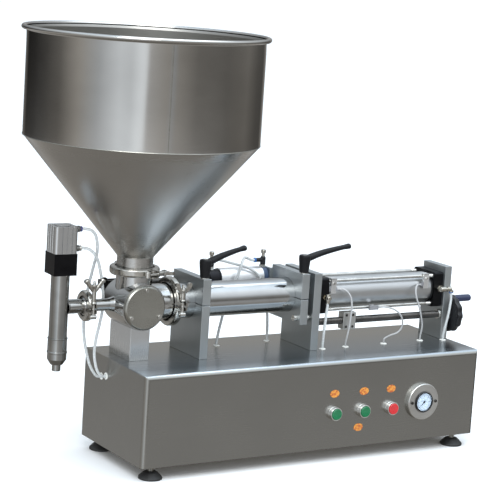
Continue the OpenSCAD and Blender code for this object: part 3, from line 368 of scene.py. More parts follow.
class Piece:
    """A mesh under construction, in millimetres, with a first material, and m to place what is added"""

    def __init__(self, name, mat, m=None):
        self.name, self.mats, self.m, self.bm = name, [mat], m, bmesh.new()

    def add(self, part, mat):
        mat = mat or self.mats[0]
        if mat not in self.mats:
            self.mats.append(mat)
        for f in part.faces:
            f.material_index = self.mats.index(mat)
        if self.m:
            bmesh.ops.transform(part, matrix=self.m, verts=part.verts)
        part_mesh = bpy.data.meshes.new("part")
        part.to_mesh(part_mesh)
        part.free()
        self.bm.from_mesh(part_mesh)
        bpy.data.meshes.remove(part_mesh)

    def lathe(self, prof, o=(0, 0, 0), z=Z, x=None, seg=32, r=0.3, arc=(0, 360), warp=None, n=3, mat=None):
        """A closed (radius, height) outline turned about z through o"""
        prof = rounded(prof, r, n) if r else prof
        m = place(o, z, x)
        full = arc[1] - arc[0] >= 360
        b = bmesh.new()
        rows = []
        for i in range(seg if full else seg + 1):
            a = radians(arc[0] + (arc[1] - arc[0]) * i / seg)
            row = []
            for q, h in prof:
                q += warp(a, q, h) if warp else 0
                row.append(b.verts.new(m @ Vector((q * cos(a), q * sin(a), h))))
            rows.append(row)
        for i in range(seg):
            p, q = rows[i], rows[(i + 1) % len(rows)]
            for j in range(len(prof)):
                k = (j + 1) % len(prof)
                if prof[j][0] > 1e-6 or prof[k][0] > 1e-6:
                    b.faces.new((p[j], q[j], q[k], p[k]))
        if not full:
            b.faces.new(rows[0][::-1])
            b.faces.new(rows[-1])
        bmesh.ops.remove_doubles(b, verts=b.verts, dist=1e-4)
        self.add(b, mat)

    def prism(self, outline, h, m=Matrix(), bevel=0.6, seg=2, mat=None):
        """An outline raised along local z, its end rims bevelled"""
        b = bmesh.new()
        caps = skin(b, [[b.verts.new(m @ Vector((x, y, z))) for x, y in outline] for z in (0, h)])
        if bevel:
            bevel_edges(b, [e for cap in caps for e in cap.edges], bevel, seg, True)
        self.add(b, mat)

    def block(self, lo, hi, bevel=0.8, mat=None):
        b = bmesh.new()
        bmesh.ops.create_cube(b, size=1.0)
        for v in b.verts:
            v.co = Vector([(lo[i] + hi[i]) / 2 + v.co[i] * (hi[i] - lo[i]) for i in range(3)])
        bevel_edges(b, list(b.edges), bevel)
        self.add(b, mat)

    def rod(self, r, h, o, z=Z, seg=32, bevel=0.4, mat=None):
        self.lathe(stepped(0, 0, r, h, 0), o, z, seg=seg, r=bevel, mat=mat)

    def hexagon(self, across, h, o, z=Z, mat=None):
        """Hexagon nut or bolt head with bevelled rims"""
        self.prism(circle(0, 0, across / sqrt(3), 6), h, place(o, z), bevel=min(0.9, h * 0.12), mat=mat)

    def tube(self, pts, r, seg=12, sub=4, squash=1.0, mat=None):
        """Tube along a smooth curve through the points, its radius a number or a function of the way along"""
        p = [Vector(q) for q in pts]
        path = []
        for i in range(len(p) - 1):
            a, b, c, d = p[max(i - 1, 0)], p[i], p[i + 1], p[min(i + 2, len(p) - 1)]
            for j in range(sub):
                s = j / sub
                path.append(0.5 * ((2 * b) + (c - a) * s + (2 * a - 5 * b + 4 * c - d) * s ** 2
                                   + (3 * b - a - 3 * c + d) * s ** 3))
        path.append(p[-1])
        b = bmesh.new()
        rings = []
        u = basis(path[1] - path[0])[0]
        for i, centre in enumerate(path):
            d = (path[min(i + 1, len(path) - 1)] - path[max(i - 1, 0)]).normalized()
            u = (u - d * u.dot(d)).normalized()
            v = d.cross(u)
            size = r(i / (len(path) - 1)) if callable(r) else r
            rings.append([b.verts.new(centre + x * u + squash * y * v) for x, y in circle(0, 0, size, seg)])
        skin(b, rings)
        self.add(b, mat)

    def thread(self, r, h, o, z=Z, pitch=1.5, depth=0.8, seg=20, per=5, mat=None):
        """Rod whose surface is one helical groove"""
        m = place(o, z)
        b = bmesh.new()
        n = max(2, int(h / pitch * per))
        rings = []
        for i in range(n + 1):
            hh = h * i / n
            ring = []
            for k in range(seg):
                a = 2 * pi * k / seg
                f = (hh / pitch - k / seg) % 1.0
                q = r - depth * (1.0 if i in (0, n) else 0.5 + 0.5 * cos(2 * pi * f))
                ring.append(b.verts.new(m @ Vector((q * cos(a), q * sin(a), hh))))
            rings.append(ring)
        skin(b, rings)
        self.add(b, mat)

    def done(self, slot, *nodes, body="frame", smooth=40):
        bmesh.ops.recalc_face_normals(self.bm, faces=self.bm.faces)
        bmesh.ops.scale(self.bm, vec=(MM, MM, MM), verts=self.bm.verts)
        register(self.name, self.bm, self.mats, smooth, body, nodes)


def refined(node, name, mat, slot, bevel, body="frame"):
    """A copy of a CAD solid with its longer edges bevelled, in place of that solid"""
    bm = bmesh.new()
    bm.from_mesh(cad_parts[node].data)
    bmesh.ops.remove_doubles(bm, verts=bm.verts, dist=2e-6)
    bmesh.ops.dissolve_limit(bm, angle_limit=radians(0.4), verts=bm.verts, edges=bm.edges, delimit={"NORMAL"})
    w = bevel * MM
    sharp = [e for e in bm.edges if len(e.link_faces) == 2 and e.calc_length() > 1.5 * w
             and e.calc_face_angle(0) > radians(25)]
    bevel_edges(bm, sharp, w)
    for f in bm.faces:
        f.material_index = 0
    register(name, bm, [mat], 35, body, (node,))


# ---- CAD nodes that no piece replaces

for inner, key in (("base_plate", "housing"), ("valve_bank", "grey"), ("gaskets", "white"),
                   ("valve_rotor", "white"), ("nozzle_plunger", "polished"), ("product_piston", "white"),
                   ("piston_seals", "rubber"), ("piston_rod", "chrome")):
    dress(inner, key)

# ---- camera, stage and light

AZ, EL, ROLL = radians(-32.03), radians(9.79), radians(3.71)
back = Vector((sin(AZ) * cos(EL), -cos(AZ) * cos(EL), sin(EL)))
right = Vector(Z).cross(back).normalized()
up = back.cross(right)
turned, upper = cos(ROLL) * right + sin(ROLL) * up, -sin(ROLL) * right + cos(ROLL) * up
lens = bpy.data.cameras.new("camera")
lens.lens, lens.sensor_width, lens.clip_end = 130.84, 36.0, 200.0
camera = put("camera", lens)
camera.matrix_world = Matrix((turned, upper, back)).transposed().to_4x4()
camera.location = (-2.0746, -3.2751, 1.1069)
bpy.context.scene.camera = camera
bpy.context.scene.view_settings.view_transform = "Standard"


def make_floor(half=60.0):
    me = bpy.data.meshes.new("floor")
    corners = [(half * x, half * y, 0) for x, y in ((-1, -1), (1, -1), (1, 1), (-1, 1))]
    me.from_pydata(corners, [], [(0, 1, 2, 3)])
    m, t, shader = new_material("floor")
    soft = grain(t, 1.3, 2.0)
    feed(t, shader, {"Roughness": 0.9, "Specular IOR Level": 0.1,
                     "Base Color": blend(t, soft, (0.97, 0.965, 0.955), (0.98, 0.975, 0.965))})
    me.materials.append(m)
    ob = put("floor", me)
    ob.visible_glossy = False


PLAIN, WARM, COOL, BLUE = (1, 1, 1), (1.05, 1.0, 0.93), (0.94, 1.0, 1.06), (0.86, 1.0, 1.14)
# Radiance round the horizon: degrees from -Y towards +X, brightness, tint
HORIZON = [(-180, 0.0, WARM), (-158, 0.01, WARM), (-137, 0.045, WARM), (-116, 0.11, WARM), (-93, 0.39, WARM),
           (-72, 0.56, COOL), (-52, 0.95, COOL), (-41, 0.84, COOL), (-31, 1.15, COOL), (-27, 1.15, COOL),
           (-25, 0.5, PLAIN), (-6, 0.36, WARM), (-2, 0.4, COOL), (2, 0.32, WARM), (23, 0.17, WARM),
           (57, 0.13, WARM), (86, 0.19, WARM), (108, 0.09, WARM), (124, 0.06, WARM), (138, 0.3, WARM),
           (150, 0.42, PLAIN), (165, 0.14, WARM), (180, 0.03, WARM)]

# The same a little below the horizon, where upright faces and the nozzle look
BELOW = [(-180, 0.36, WARM), (-148, 0.5, PLAIN), (-110, 0.42, WARM), (-75, 0.7, PLAIN), (-52, 1.15, COOL),
         (-34, 1.55, COOL), (-26, 0.95, PLAIN), (-2, 0.62, PLAIN), (20, 0.54, PLAIN), (45, 0.49, PLAIN),
         (72, 0.18, WARM), (100, 0.1, WARM), (140, 0.22, WARM), (180, 0.36, WARM)]


def ramp(t, fac, *stops):
    """Colours along a factor, from stops that are a place, a brightness and a tint"""
    n = t.nodes.new("ShaderNodeValToRGB")
    marks = n.color_ramp.elements
    marks.remove(marks[-1])
    for i, (at, value, *tint) in enumerate(stops):
        mark = marks.new(at) if i else marks[0]
        mark.position = at
        mark.color = (*[value * c for c in (tint[0] if tint else PLAIN)], 1)
    feed(t, n, {"Fac": fac})
    return n.outputs["Color"]


def make_world():
    """Soft studio surround: windows round the horizon, bright ceiling, dim floor reflections"""
    world = bpy.data.worlds.new("studio")
    bpy.context.scene.world = world
    world.use_nodes = True
    t = world.node_tree
    at = position(t, "Generated")
    front = calc(t, "MULTIPLY", at["Y"], -1.0)
    turn = calc(t, "ADD", calc(t, "DIVIDE", calc(t, "ARCTAN2", at["X"], front), 2 * pi), 0.5)
    height = calc(t, "ADD", calc(t, "MULTIPLY", at["Z"], 0.5), 0.5)
    hor, below = [ramp(t, turn, *[((d + 180) / 360, v / 2, tint) for d, v, tint in table])
                  for table in (HORIZON, BELOW)]
    mask = ramp(t, height, (0.4, 0.0), (0.44, 0.9), (0.455, 1.0), (0.5, 1.0), (0.58, 0.5), (0.7, 0.0))
    under = ramp(t, height, (0.32, 0.0), (0.36, 1.0), (0.41, 0.8), (0.44, 0.15), (0.465, 0.03), (0.5, 0.0))
    low = ramp(t, height, (0.0, 0.13, WARM), (0.2, 0.15, WARM), (0.28, 0.2, WARM), (0.32, 0.24),
               (0.36, 0.0))
    sky = ramp(t, height, (0.46, 0.0), (0.5, 0.06), (0.55, 0.13), (0.6, 0.32, COOL), (0.68, 0.58, COOL),
               (0.8, 0.8, COOL), (0.93, 1.15, BLUE), (1.0, 0.85, BLUE))
    behind = ramp(t, calc(t, "ADD", calc(t, "MULTIPLY", front, 0.5), 0.5),
                  (0.0, 0.4), (0.45, 0.6), (0.75, 1.0), (1.0, 1.0))

    def mixed(operation, a, b):
        return node(t, "VectorMath", {0: a, 1: b}, operation=operation)[0]

    total = mixed("ADD", mixed("ADD", mixed("MULTIPLY", hor, mask), low), mixed("MULTIPLY", sky, behind))
    studio = t.nodes["Background"]
    feed(t, studio, {"Strength": 2.0, "Color": mixed("ADD", total, mixed("MULTIPLY", below, under))})
    white = node(t, "Background", {"Color": (1, 1, 1, 1)})[0]
    by_ray = {"Fac": node(t, "LightPath", {})["Is Camera Ray"], 1: studio.outputs[0], 2: white}
    feed(t, t.nodes["World Output"], {"Surface": node(t, "MixShader", by_ray)[0]})


def area(name, loc, aim, size, power, colour):
    light = bpy.data.lights.new(name, "AREA")
    light.shape, light.size, light.size_y = "RECTANGLE", *size
    light.energy, light.color = power, colour
    ob = put(name, light)
    ob.location = loc
    ob.rotation_euler = (Vector(aim) - Vector(loc)).to_track_quat("-Z", "Y").to_euler()


make_floor()
make_world()
area("key", (-2.2, -2.6, 3.2), (0, 0, 0.4), (2.4, 1.6), 60, (1.0, 0.99, 0.97))
area("top", (0.3, -0.2, 3.6), (0, 0, 0.3), (3.2, 2.4), 55, (0.97, 0.99, 1.0))

# ---- housing, panel, feet

for row in (("housing", "housing_shell", "housing", "housing_steel", 0.5),
            ("support_block", "valve_block", "block", "polished_steel", 1.0),
            ("tube_clamp_plate", "clamp_upright", "plate", "plate_steel", 0.9),
            ("tube_end_plate", "end_upright", "plate", "plate_steel", 0.9),
            ("bulkhead_plate", "bulkhead_upright", "plate", "plate_steel", 0.9),
            ("tail_plate", "tail_upright", "plate", "plate_steel", 0.9),
            ("valve_body", "valve_casting", "polished", "polished_steel", 0.8),
            ("stroke_nut", "nut_carriage", "bright", "nut_steel", 0.7, "nut_block"),
            ("crank_arm", "rotor_crank", "dark_steel", "dark_steel", 0.6, "rotor"),
            ("actuator_rod", "fork_and_rod", "dark_steel", "dark_steel", 0.6, "actuator_slide"),
            ("actuator_bracket", "actuator_angle", "plate", "plate_steel", 0.6)):
    refined(*row)


def make_feet():
    p = Piece("feet", "rubber")
    for x in (LEFT + 37, RIGHT - 37):
        for y in (FRONT + 28, REAR - 28):
            p.lathe([(0, 0), (25, 0), (25, 4), (22.5, 6.5), (15, 14), (12, 16), (0, 16)], (x, y, 0), seg=64,
                    r=1.2)
            p.thread(5.9, 28, (x, y, 16), pitch=1.6, depth=0.7, mat="screw")
            for z in (23, 35):
                p.hexagon(19, 7, (x, y, z), mat="screw")
    p.done("foot_rubber", "levelling_feet")


def slot_screw(p, o, z, r, h, mat="screw", slot=0.5):
    """Cheese head with a slot: a base disc under two half rounds"""
    p.rod(r, h * 0.45, o, z, 24, 0.1, mat)
    end = sqrt(r * r - slot * slot)
    for s in (-1, 1):
        arc = [(x, y) for x, y in circle(0, 0, r, 12, -90 * s, 180) if abs(x) > slot]
        p.prism([(s * slot, -s * end), *arc, (s * slot, s * end)], h, place(o, z), bevel=0.25, seg=1, mat=mat)


def make_screws():
    p = Piece("screws", "screw")
    for x, z in circle(HOPPER_X, AXIS, 38, 3, 90):
        slot_screw(p, (x, -58, z), FORWARD, 4.25, 3.4)
    for s in (-1, 1):
        o = (GAUGE_X + s * 32, FRONT - 9, GAUGE_Z)
        slot_screw(p, o, FORWARD, 3.4, 2.4, "dark_steel")
        p.rod(1.9, 16, o, Y, 16)
        o = (END_PLATE_X, s * 46, AXIS - 43)
        p.lathe(stepped(0, 0, 6.8, 8, 3.6, 3.5, 0), o, (-1, 0, 0), r=0.5)
        p.thread(3.95, 50, o, X, 1.25, 0.5, 16)
        p.hexagon(15, 8, (END_PLATE_X + PLATE_T, s * 46, AXIS - 43), X)
    p.done("screw_steel", "cap_screws")


def make_buttons():
    p = Piece("bezels", "chrome")
    for x in BUTTONS:
        p.lathe([(9, -24), (11, -24), (11, 0), (15, 0), (15, 2.4), (14.6, 3.0), (14.6, 9.5), (14.2, 12),
                 (12.5, 12), (12.3, 11.4), (12.3, 0.8), (9, 0.8)], (x, FRONT, BUTTON_Z), FORWARD, seg=72,
                r=0.35)
        p.lathe(stepped(11, 0, 15, 4, 11), (x, FRONT + 2, BUTTON_Z), Y, seg=12, r=0.4, mat="black")
        p.block((x - 15, FRONT + 24, BUTTON_Z - 15), (x + 15, FRONT + 50, BUTTON_Z + 15), 1.5, mat="grey")
    p.done("bezel_chrome", "button_bezels")
    nodes = ("green_button_left", "green_button_right", "red_button")
    for x, key, node, mat in zip(BUTTONS, ("left", "middle", "red"), nodes, ("green", "green", "red")):
        p = Piece(key + "_cap", mat)
        p.lathe([(0, -14), (6, -14), (6, 5), (12.1, 5), (12.1, 13.6), (11.3, 14.9), (10.2, 15.2), (8, 14.8),
                 (4, 14.4), (0, 14.3)], (x, FRONT, BUTTON_Z), FORWARD, seg=64, r=0.5)
        p.done("button_" + mat, node, body="button_" + key)


def make_labels():
    p = Piece("labels", "label")
    for i, (x, z) in enumerate(((463, 152), (540, 152), (612, 152), (531, 72))):
        pts = []
        for c, s in circle(0, 0, 1, 48):
            wobble = 1 + 0.015 * noise.noise(Vector((c * 2, s * 2, i * 7.0)))
            pts.append((11.9 * wobble * c, 8.5 * wobble * s))
        p.prism(pts, 0.6, place((LEFT + x, FRONT, z), FORWARD, X), bevel=0.25)
    p.done("label_orange", "panel_labels")


def make_gauge():
    o, centre = (GAUGE_X, FRONT, GAUGE_Z), (GAUGE_X, FRONT - 11.2, GAUGE_Z)
    p = Piece("gauge_ring", "bright")
    p.lathe([(20.2, 0), (41, 0), (41, 7.6), (39.8, 9), (24.6, 9), (24.2, 8.6), (20.2, 8.6)], o, FORWARD,
            seg=96, r=0.4)
    p.done("satin_steel", "gauge_flange")
    p = Piece("gauge_body", "black_gloss")
    p.lathe([(0, -30), (20, -30), (20, 9), (23, 9), (23, 12.2), (22.2, 13), (20.6, 13), (20.3, 12.4),
             (20.3, 9), (0, 9)], o, FORWARD, seg=96)
    p.lathe(stepped(0, 9, 20.2, 9.6, 0), o, FORWARD, seg=96, r=0.05, mat="dial")
    p.lathe(stepped(0, 9.5, 1.0, 11, 0), o, FORWARD, seg=16, r=0.1, mat="nickel")
    p.hexagon(12, 8, (GAUGE_X, FRONT + 30, GAUGE_Z), Y, mat="nickel")
    p.thread(5.4, 6, (GAUGE_X, FRONT + 38, GAUGE_Z), Y, 1.3, 0.6, mat="nickel")
    p.done("black_enamel", "gauge_case")
    p = Piece("needle", "black")
    upper_edge = [(14, 0.12), (8, 0.55), (-4, 0.5), (-5, 0.9)]
    p.prism([(x, -y) for x, y in reversed(upper_edge)] + upper_edge, 0.5,
            place(centre, FORWARD, X) @ spin(225), bevel=0.1, seg=1)
    p.lathe([(0, 0), (2.2, 0), (2.0, 0.75), (0, 0.8)], centre, FORWARD, r=0.15)
    p.done("black_enamel", "gauge_needle", body="needle")
    p = Piece("gauge_window", "window")
    p.lathe([(0, 0), (20.2, 0), (20.2, 0.7), (14, 0.78), (0, 0.8)], (GAUGE_X, FRONT - 12.2, GAUGE_Z), FORWARD,
            seg=96, r=0.1)
    p.done("gauge_glass", "gauge_glass")


# ---- hopper and clamps

def make_hopper():
    """Neck, cone and drum with a rolled rim, weld beads and a seam"""
    neck, cone, drum, low, high = 38, 439, 244, 683, 892
    o = (HOPPER_X, 0, 0)
    p = Piece("hopper_shell", "hopper")
    p.mats.append("inside")

    def dents(a, q, h):
        if q < 40 or h > high or h < 440:
            return 0.0
        c, s = cos(a), sin(a)
        wave = noise.noise(Vector((c * 1.3, s * 1.3, h * 0.002 + 3.0))) * 0.9
        wave += noise.noise(Vector((c * 4.0, s * 4.0, h * 0.006))) * 0.25
        near_neck = max(0.0, 1 - (h - cone) / 90) if h < low else 0.0
        fold = sin(7 * a + 1.0) * 1.1 * near_neck * min(1.0, (h - cone) / 20)
        return wave * min(1.0, (q - neck) / 120) + fold

    outer = [(neck + (drum - neck) * i / 16, cone + (low - cone) * i / 16) for i in range(1, 17)]
    outer += [(drum, low + (high - low) * i / 10) for i in range(1, 10)] + [(drum, 893.5), (245.8, 898.5)]
    inner = [(q - 2, h + (1.2 if h < 690 else 0)) for q, h in reversed(outer)]
    p.lathe([(36, 409.5), (FERRULE_R, 409.5), (FERRULE_R, 412), (39.5, 415), (neck, 416.5), (neck, 438),
             *outer, *inner, (36, 440)], o, seg=192, r=0.5, warp=dents)
    bmesh.ops.recalc_face_normals(p.bm, faces=p.bm.faces)
    for f in p.bm.faces:
        out = f.calc_center_median() - Vector(o)
        out.z = 0
        if out.length > 60 and f.normal.dot(out) < 0:
            f.material_index = 1
    sweep = 325 * 19 / 18
    rim = circle(249.9, 900.1, 4.8, 19, 205, sweep) + circle(249.9, 900.1, 3.5, 19, 530, -sweep)
    p.lathe(rim, o, seg=192, r=0)
    for q, h, r in ((drum + 0.1, low, 0.9), (neck + 0.3, cone, 0.8), (neck + 0.2, 416.0, 0.7)):
        p.lathe(circle(q, h, r, 8), o, seg=192, r=0, mat="satin",
                warp=lambda a, qq, hh: 0.15 * noise.noise(Vector((a * 60, hh, 0))))
    seam, r = radians(-106), drum + 0.2
    p.tube([(HOPPER_X + r * cos(seam), r * sin(seam), 686 + (high - 686) * i / 20) for i in range(21)], 0.7,
           seg=6, sub=2, mat="satin")
    p.done("hopper_steel", "hopper", smooth=30)


ACROSS = spin(-90, "Y") @ spin(-90)
# Frame, ferrule radius, width, lug, bolt radius, bolt end, height and span of the nut, its turn, name
CLAMPS = ((shift(HOPPER_X, 0, HOPPER_JOINT) @ spin(-75), FERRULE_R, 17, 18, 4, 44, 22, 16, 0, "hopper"),
          (shift(CYLINDER_JOINT, 0, AXIS) @ ACROSS, FERRULE_R, 17, 18, 4, 46, 26, 19, 90, "cylinder"),
          (shift(OUTLET_JOINT, 0, AXIS) @ ACROSS, SMALL_FERRULE_R, 13, 15, 3, 58, 40, 24, 90, "outlet"))


def clamp_half(p, r, w, lug, bolt, s):
    """Half of a heavy clamp on the +Y or -Y side: ring sector, two-eared lug, hinge knuckle"""
    p.lathe([(r - 4.5, -w / 2), (r + 4.4, -w / 2), (r + 7, -w / 2 + 3.2), (r + 7, w / 2 - 3.2),
             (r + 4.4, w / 2), (r - 4.5, w / 2), (r + 0.3, 3.4), (r + 0.3, -3.4)], seg=48, r=1.3,
            arc=(2.2, 177.8) if s > 0 else (182.2, 357.8))
    for z0, z1 in ((-w / 2 + 0.3, -bolt - 0.9), (bolt + 0.9, w / 2 - 0.3)):
        ear = [(2, 1.6), (2 + lug, 1.6), (2 + lug, 8.0), (lug - 1, 10.5), (2, 10.5)]
        p.prism([(r + x, y * s) for x, y in ear], z1 - z0, shift(0, 0, z0), bevel=0.9)
    y0, y1 = sorted((1.6 * s, 10.4 * s))
    p.block((r + 2, y0, -w / 2 + 1), (r + lug / 2 + 2.8 - bolt, y1, w / 2 - 1))
    for h, z in ((w / 3 - 0.6, -w / 6 + 0.3),) if s > 0 else ((w / 3, w / 6), (w / 3, -w / 2)):
        p.rod(6.8, h, (-r - 7, 0, z), Z, 28, 0.8)


def make_clamps():
    rings, bolts = Piece("clamps", "cast"), Piece("eye_bolts", "screw")
    for m, r, w, lug, bolt, end, *_ in CLAMPS:
        rings.m = bolts.m = m
        for s in (-1, 1):
            clamp_half(rings, r, w, lug, bolt, s)
        rings.rod(2.9, w + 4, (-r - 7, 0, -w / 2 - 2), Z, 20, 0.8)
        x = r + lug / 2 + 4
        bolts.lathe(stepped(0, -6, bolt + 2, 6, 0), (x, -13 - bolt, 0), Z, seg=28, r=1)
        bolts.rod(2.2, 15, (x, -13 - bolt, -7.5), Z, 16, 0.5)
        bolts.rod(bolt * 0.94, 22, (x, -14, 0), Y, 24, 0.3)
        bolts.thread(bolt * 0.97, end - 9, (x, 9, 0), Y, 1.25, 0.5, 18)
    rings.done("clamp_cast", "clamp_rings")
    bolts.done("screw_steel", "swing_bolts")


def make_wing_nuts():
    for m, r, _, lug, bolt, _, top, span, turn, name in CLAMPS:
        p = Piece(name + "_nut", "cast", m @ shift(r + lug / 2 + 4, 0, 0) @ spin(turn, "Y"))
        hub = bolt + 3
        p.lathe([(bolt + 0.1, 0), (hub, 0), (hub, 2.4), (hub - 1.4, 4), (hub - 1.6, top - 8), (hub, top - 3),
                 (hub - 0.5, top), (bolt + 0.1, top)], (0, 11, 0), Y, seg=36, r=0.8)
        for s in (-1, 1):
            if name == "outlet":
                arm = [(s * x, top + y, 0) for x, y in ((2.5, -2), (7.5, 5), (13, 12), (18, 18.5))]
                p.tube(arm, lambda u: 3.8 + 1.3 * u, seg=18, sub=5)
                p.lathe([(0, -5), (4.4, -5), (5.7, -2.2), (5.7, 1.2), (4.8, 3.0), (2.8, 3.8), (0, 3.9)],
                        (s * 18.4, top + 19, 0), (s * 0.6, 0.8, 0), seg=28, r=1.0)
            else:
                wing = [(hub - 2, -9), (hub, -8), (span - 3, 1.5), (span, 5), (span, 11), (span - 1.5, 13),
                        (span - 7, 12.8), (hub + 1, 4), (hub - 2, 0.5)]
                # Rounded well away from x = 0, where rounded() leaves corners as they are
                wing = rounded([(100 + s * x, 11 + top + y) for x, y in wing], 2.0, 4)
                p.prism([(x - 100, y) for x, y in wing], 6.8, shift(0, 0, -3.4), bevel=2.0, seg=3)
        p.done("clamp_cast", name + "_wing_nut", body="nut_" + name)


# ---- valve, outlet and nozzle

def make_valve_covers():
    p = Piece("covers", "satin")
    p.lathe([(0, 0), (43.6, 0), (46.5, 2.9), (46.5, 6.6), (45.8, 7), (0, 7)], (HOPPER_X, -58, AXIS), Y,
            seg=128, r=0.5)
    p.lathe([(8.05, 0), (46.5, 0), (46.5, 5), (44, 7), (16, 7), (16, 17), (8.05, 17)],
            (HOPPER_X, 43, AXIS), Y, seg=128, r=0.6)
    for x, z in circle(HOPPER_X, AXIS, 38, 3, 90):
        slot_screw(p, (x, 50, z), Y, 4.2, 3.0, "polished")
    p.done("polished_steel", "valve_covers")


def make_nozzle():
    o = (NOZZLE_X, 0, 0)
    low, top, spacer_top = 246, 407, 452
    p = Piece("upright_tube", "pipe")
    p.lathe(stepped(16, low, PIPE_R, top, 16), o, seg=96)
    p.lathe([(15.8, 0), (17.6, 0), (15.2, 3.2), (12.75, 5.5), (12.7, 6.0), (12.0, 6.0)],
            (NOZZLE_X + 15.6, 0, AXIS), X, seg=48, r=0.8, mat="polished")
    p.done("polished_steel", "nozzle_body")

    p = Piece("union_nut", "pipe")
    p.lathe([(19.02, low), (19.02, 275), (20.6, 275), (21, 274.6), (21, 273.2), (20, 272.6), (20, 247),
             (21, 246.4), (21, 243.2), (20, 242.6), (20, 230), (13.02, 219), (13.02, 232), (19.02, 238)], o,
            seg=96, r=0.35)
    p.done("polished_steel", "nozzle_sleeve")

    p = Piece("spout", "pipe")
    p.lathe([(7, 205), (8.6, 205), (9, 205.5), (9, 219), (13, 219), (13, 232), (PIPE_R, 238), (PIPE_R, low),
             (16, low), (7, 228)], o, seg=72)
    p.done("polished_steel", "nozzle_tip")

    p = Piece("outlet_stub", "polished")
    start, j = NOZZLE_X + 18.4, OUTLET_JOINT
    p.lathe([(11.2, start), (15, start), (15, j - 9), (16.2, j - 6), (SMALL_FERRULE_R, j - 3),
             (SMALL_FERRULE_R, j - 0.5), (11.2, j - 0.5)], (0, 0, AXIS), X, seg=72, r=0.4)
    p.done("polished_steel", "outlet_pipe")

    turn = shift(*o) @ spin(NOZZLE_TURN)
    p = Piece("spacer_block", "anodised", turn)
    p.block((-25, -25, top), (25, 25, spacer_top), 0.7)
    p.done("black_anodised", "nozzle_spacer")

    p = Piece("compact_cylinder", "profile")
    h, corner, side = 25.0, 7, []
    half = [(1.2, 0.8), (1.6, 0), (8.8, 0), (9.4, 1.5), (12.0, 1.5), (12.6, 0), (h - corner, 0)]
    run = [(-x, y - h) for x, y in reversed(half)] + [(x, y - h) for x, y in half]
    run += circle(h - corner, corner - h, corner, 8, -90, 90)[1:]
    for ca, sa in ((1, 0), (0, 1), (-1, 0), (0, -1)):
        side += [(x * ca - y * sa, x * sa + y * ca) for x, y in run]
    p.prism(side, 55.4, turn @ shift(0, 0, spacer_top), bevel=0.35)
    p.lathe([(0, 0), (15.8, 0), (15.8, 0.5), (0, 0.6)], (NOZZLE_X, 0, 507.4), seg=64, r=0.15)
    p.lathe(stepped(15.9, 0, 17.0, 0.35, 15.9), (NOZZLE_X, 0, 507.35), seg=64, r=0.1, mat="anodised")
    for x in (-17.8, 17.8):
        for y in (-17.8, 17.8):
            p.lathe([(0, 0), (3.4, 0), (3.4, 0.5), (2.0, 0.55), (1.7, 0.2), (0, 0.2)],
                    turn @ Vector((x, y, 507.4)), seg=24, r=0.1, mat="screw")
    p.done("cylinder_aluminium", "nozzle_cylinder")


# ---- product cylinder and air cylinder

def make_product_tube():
    p = Piece("product_cylinder", "tube")
    j, end, ferrule = CYLINDER_JOINT, END_PLATE_X + PLATE_T, FERRULE_R
    p.lathe([(35, j + 0.5), (ferrule, j + 0.5), (ferrule, j + 3), (39.6, j + 6), (TUBE_R, j + 7.5),
             (TUBE_R, end - 1.5), (37, end), (10.05, end), (10.05, end - 10), (35, end - 10)],
            (0, 0, AXIS), X, seg=128, r=0.4)
    p.done("polished_steel", "product_tube")


def square_profile(side, r, k=5):
    """Square outline with round corners"""
    h = side / 2 - r
    pts = []
    for q, (x, y) in enumerate(((h, h), (-h, h), (-h, -h), (h, -h))):
        pts += circle(x, y, r, k + 1, 90 * q, 90 * (k + 1) / k)
    return pts


def make_air_cylinder():
    front_cap = BULKHEAD_X + PLATE_T
    p = Piece("end_caps", "anodised")
    for x, length, s in ((front_cap, 35, 1), (REAR_CAP_X, 24, -1)):
        p.prism(square_profile(80, 5), length, place((x, 0, AXIS), X, Y), bevel=1.2)
        face = x + length if s > 0 else x
        p.lathe([(35.1, -3), (38.5, -3), (38.5, 2.2), (37.5, 3.2), (35.1, 3.2)], (face, 0, AXIS), (s, 0, 0),
                seg=96, r=0.4)
        for y, z in TIE_ENDS:
            p.lathe(stepped(4.1, -2, 7.0, 1.0, 4.1), (face, y, z), (s, 0, 0), seg=28)
    p.done("black_anodised", "air_cylinder_caps")
    p = Piece("barrel_tube", "barrel")
    p.lathe(stepped(31.5, 0, 35, REAR_CAP_X - BARREL_X, 31.5), (BARREL_X, 0, AXIS), X, seg=128)
    p.done("cylinder_aluminium", "air_barrel")
    p = Piece("tie_bars", "screw")
    for y, z in TIE_ENDS:
        for a, b in ((front_cap, BARREL_X + 3), (BARREL_X + 16, REAR_CAP_X - 16), (REAR_CAP_X - 3, TAIL_X)):
            p.rod(3.98, b - a, (a, y, z), X, 28, 0.3)
        for a in (BARREL_X + 3, REAR_CAP_X - 16):
            p.thread(3.98, 13, (a, y, z), X, 1.25, 0.45, 18)
    p.done("screw_steel", "tie_rods")


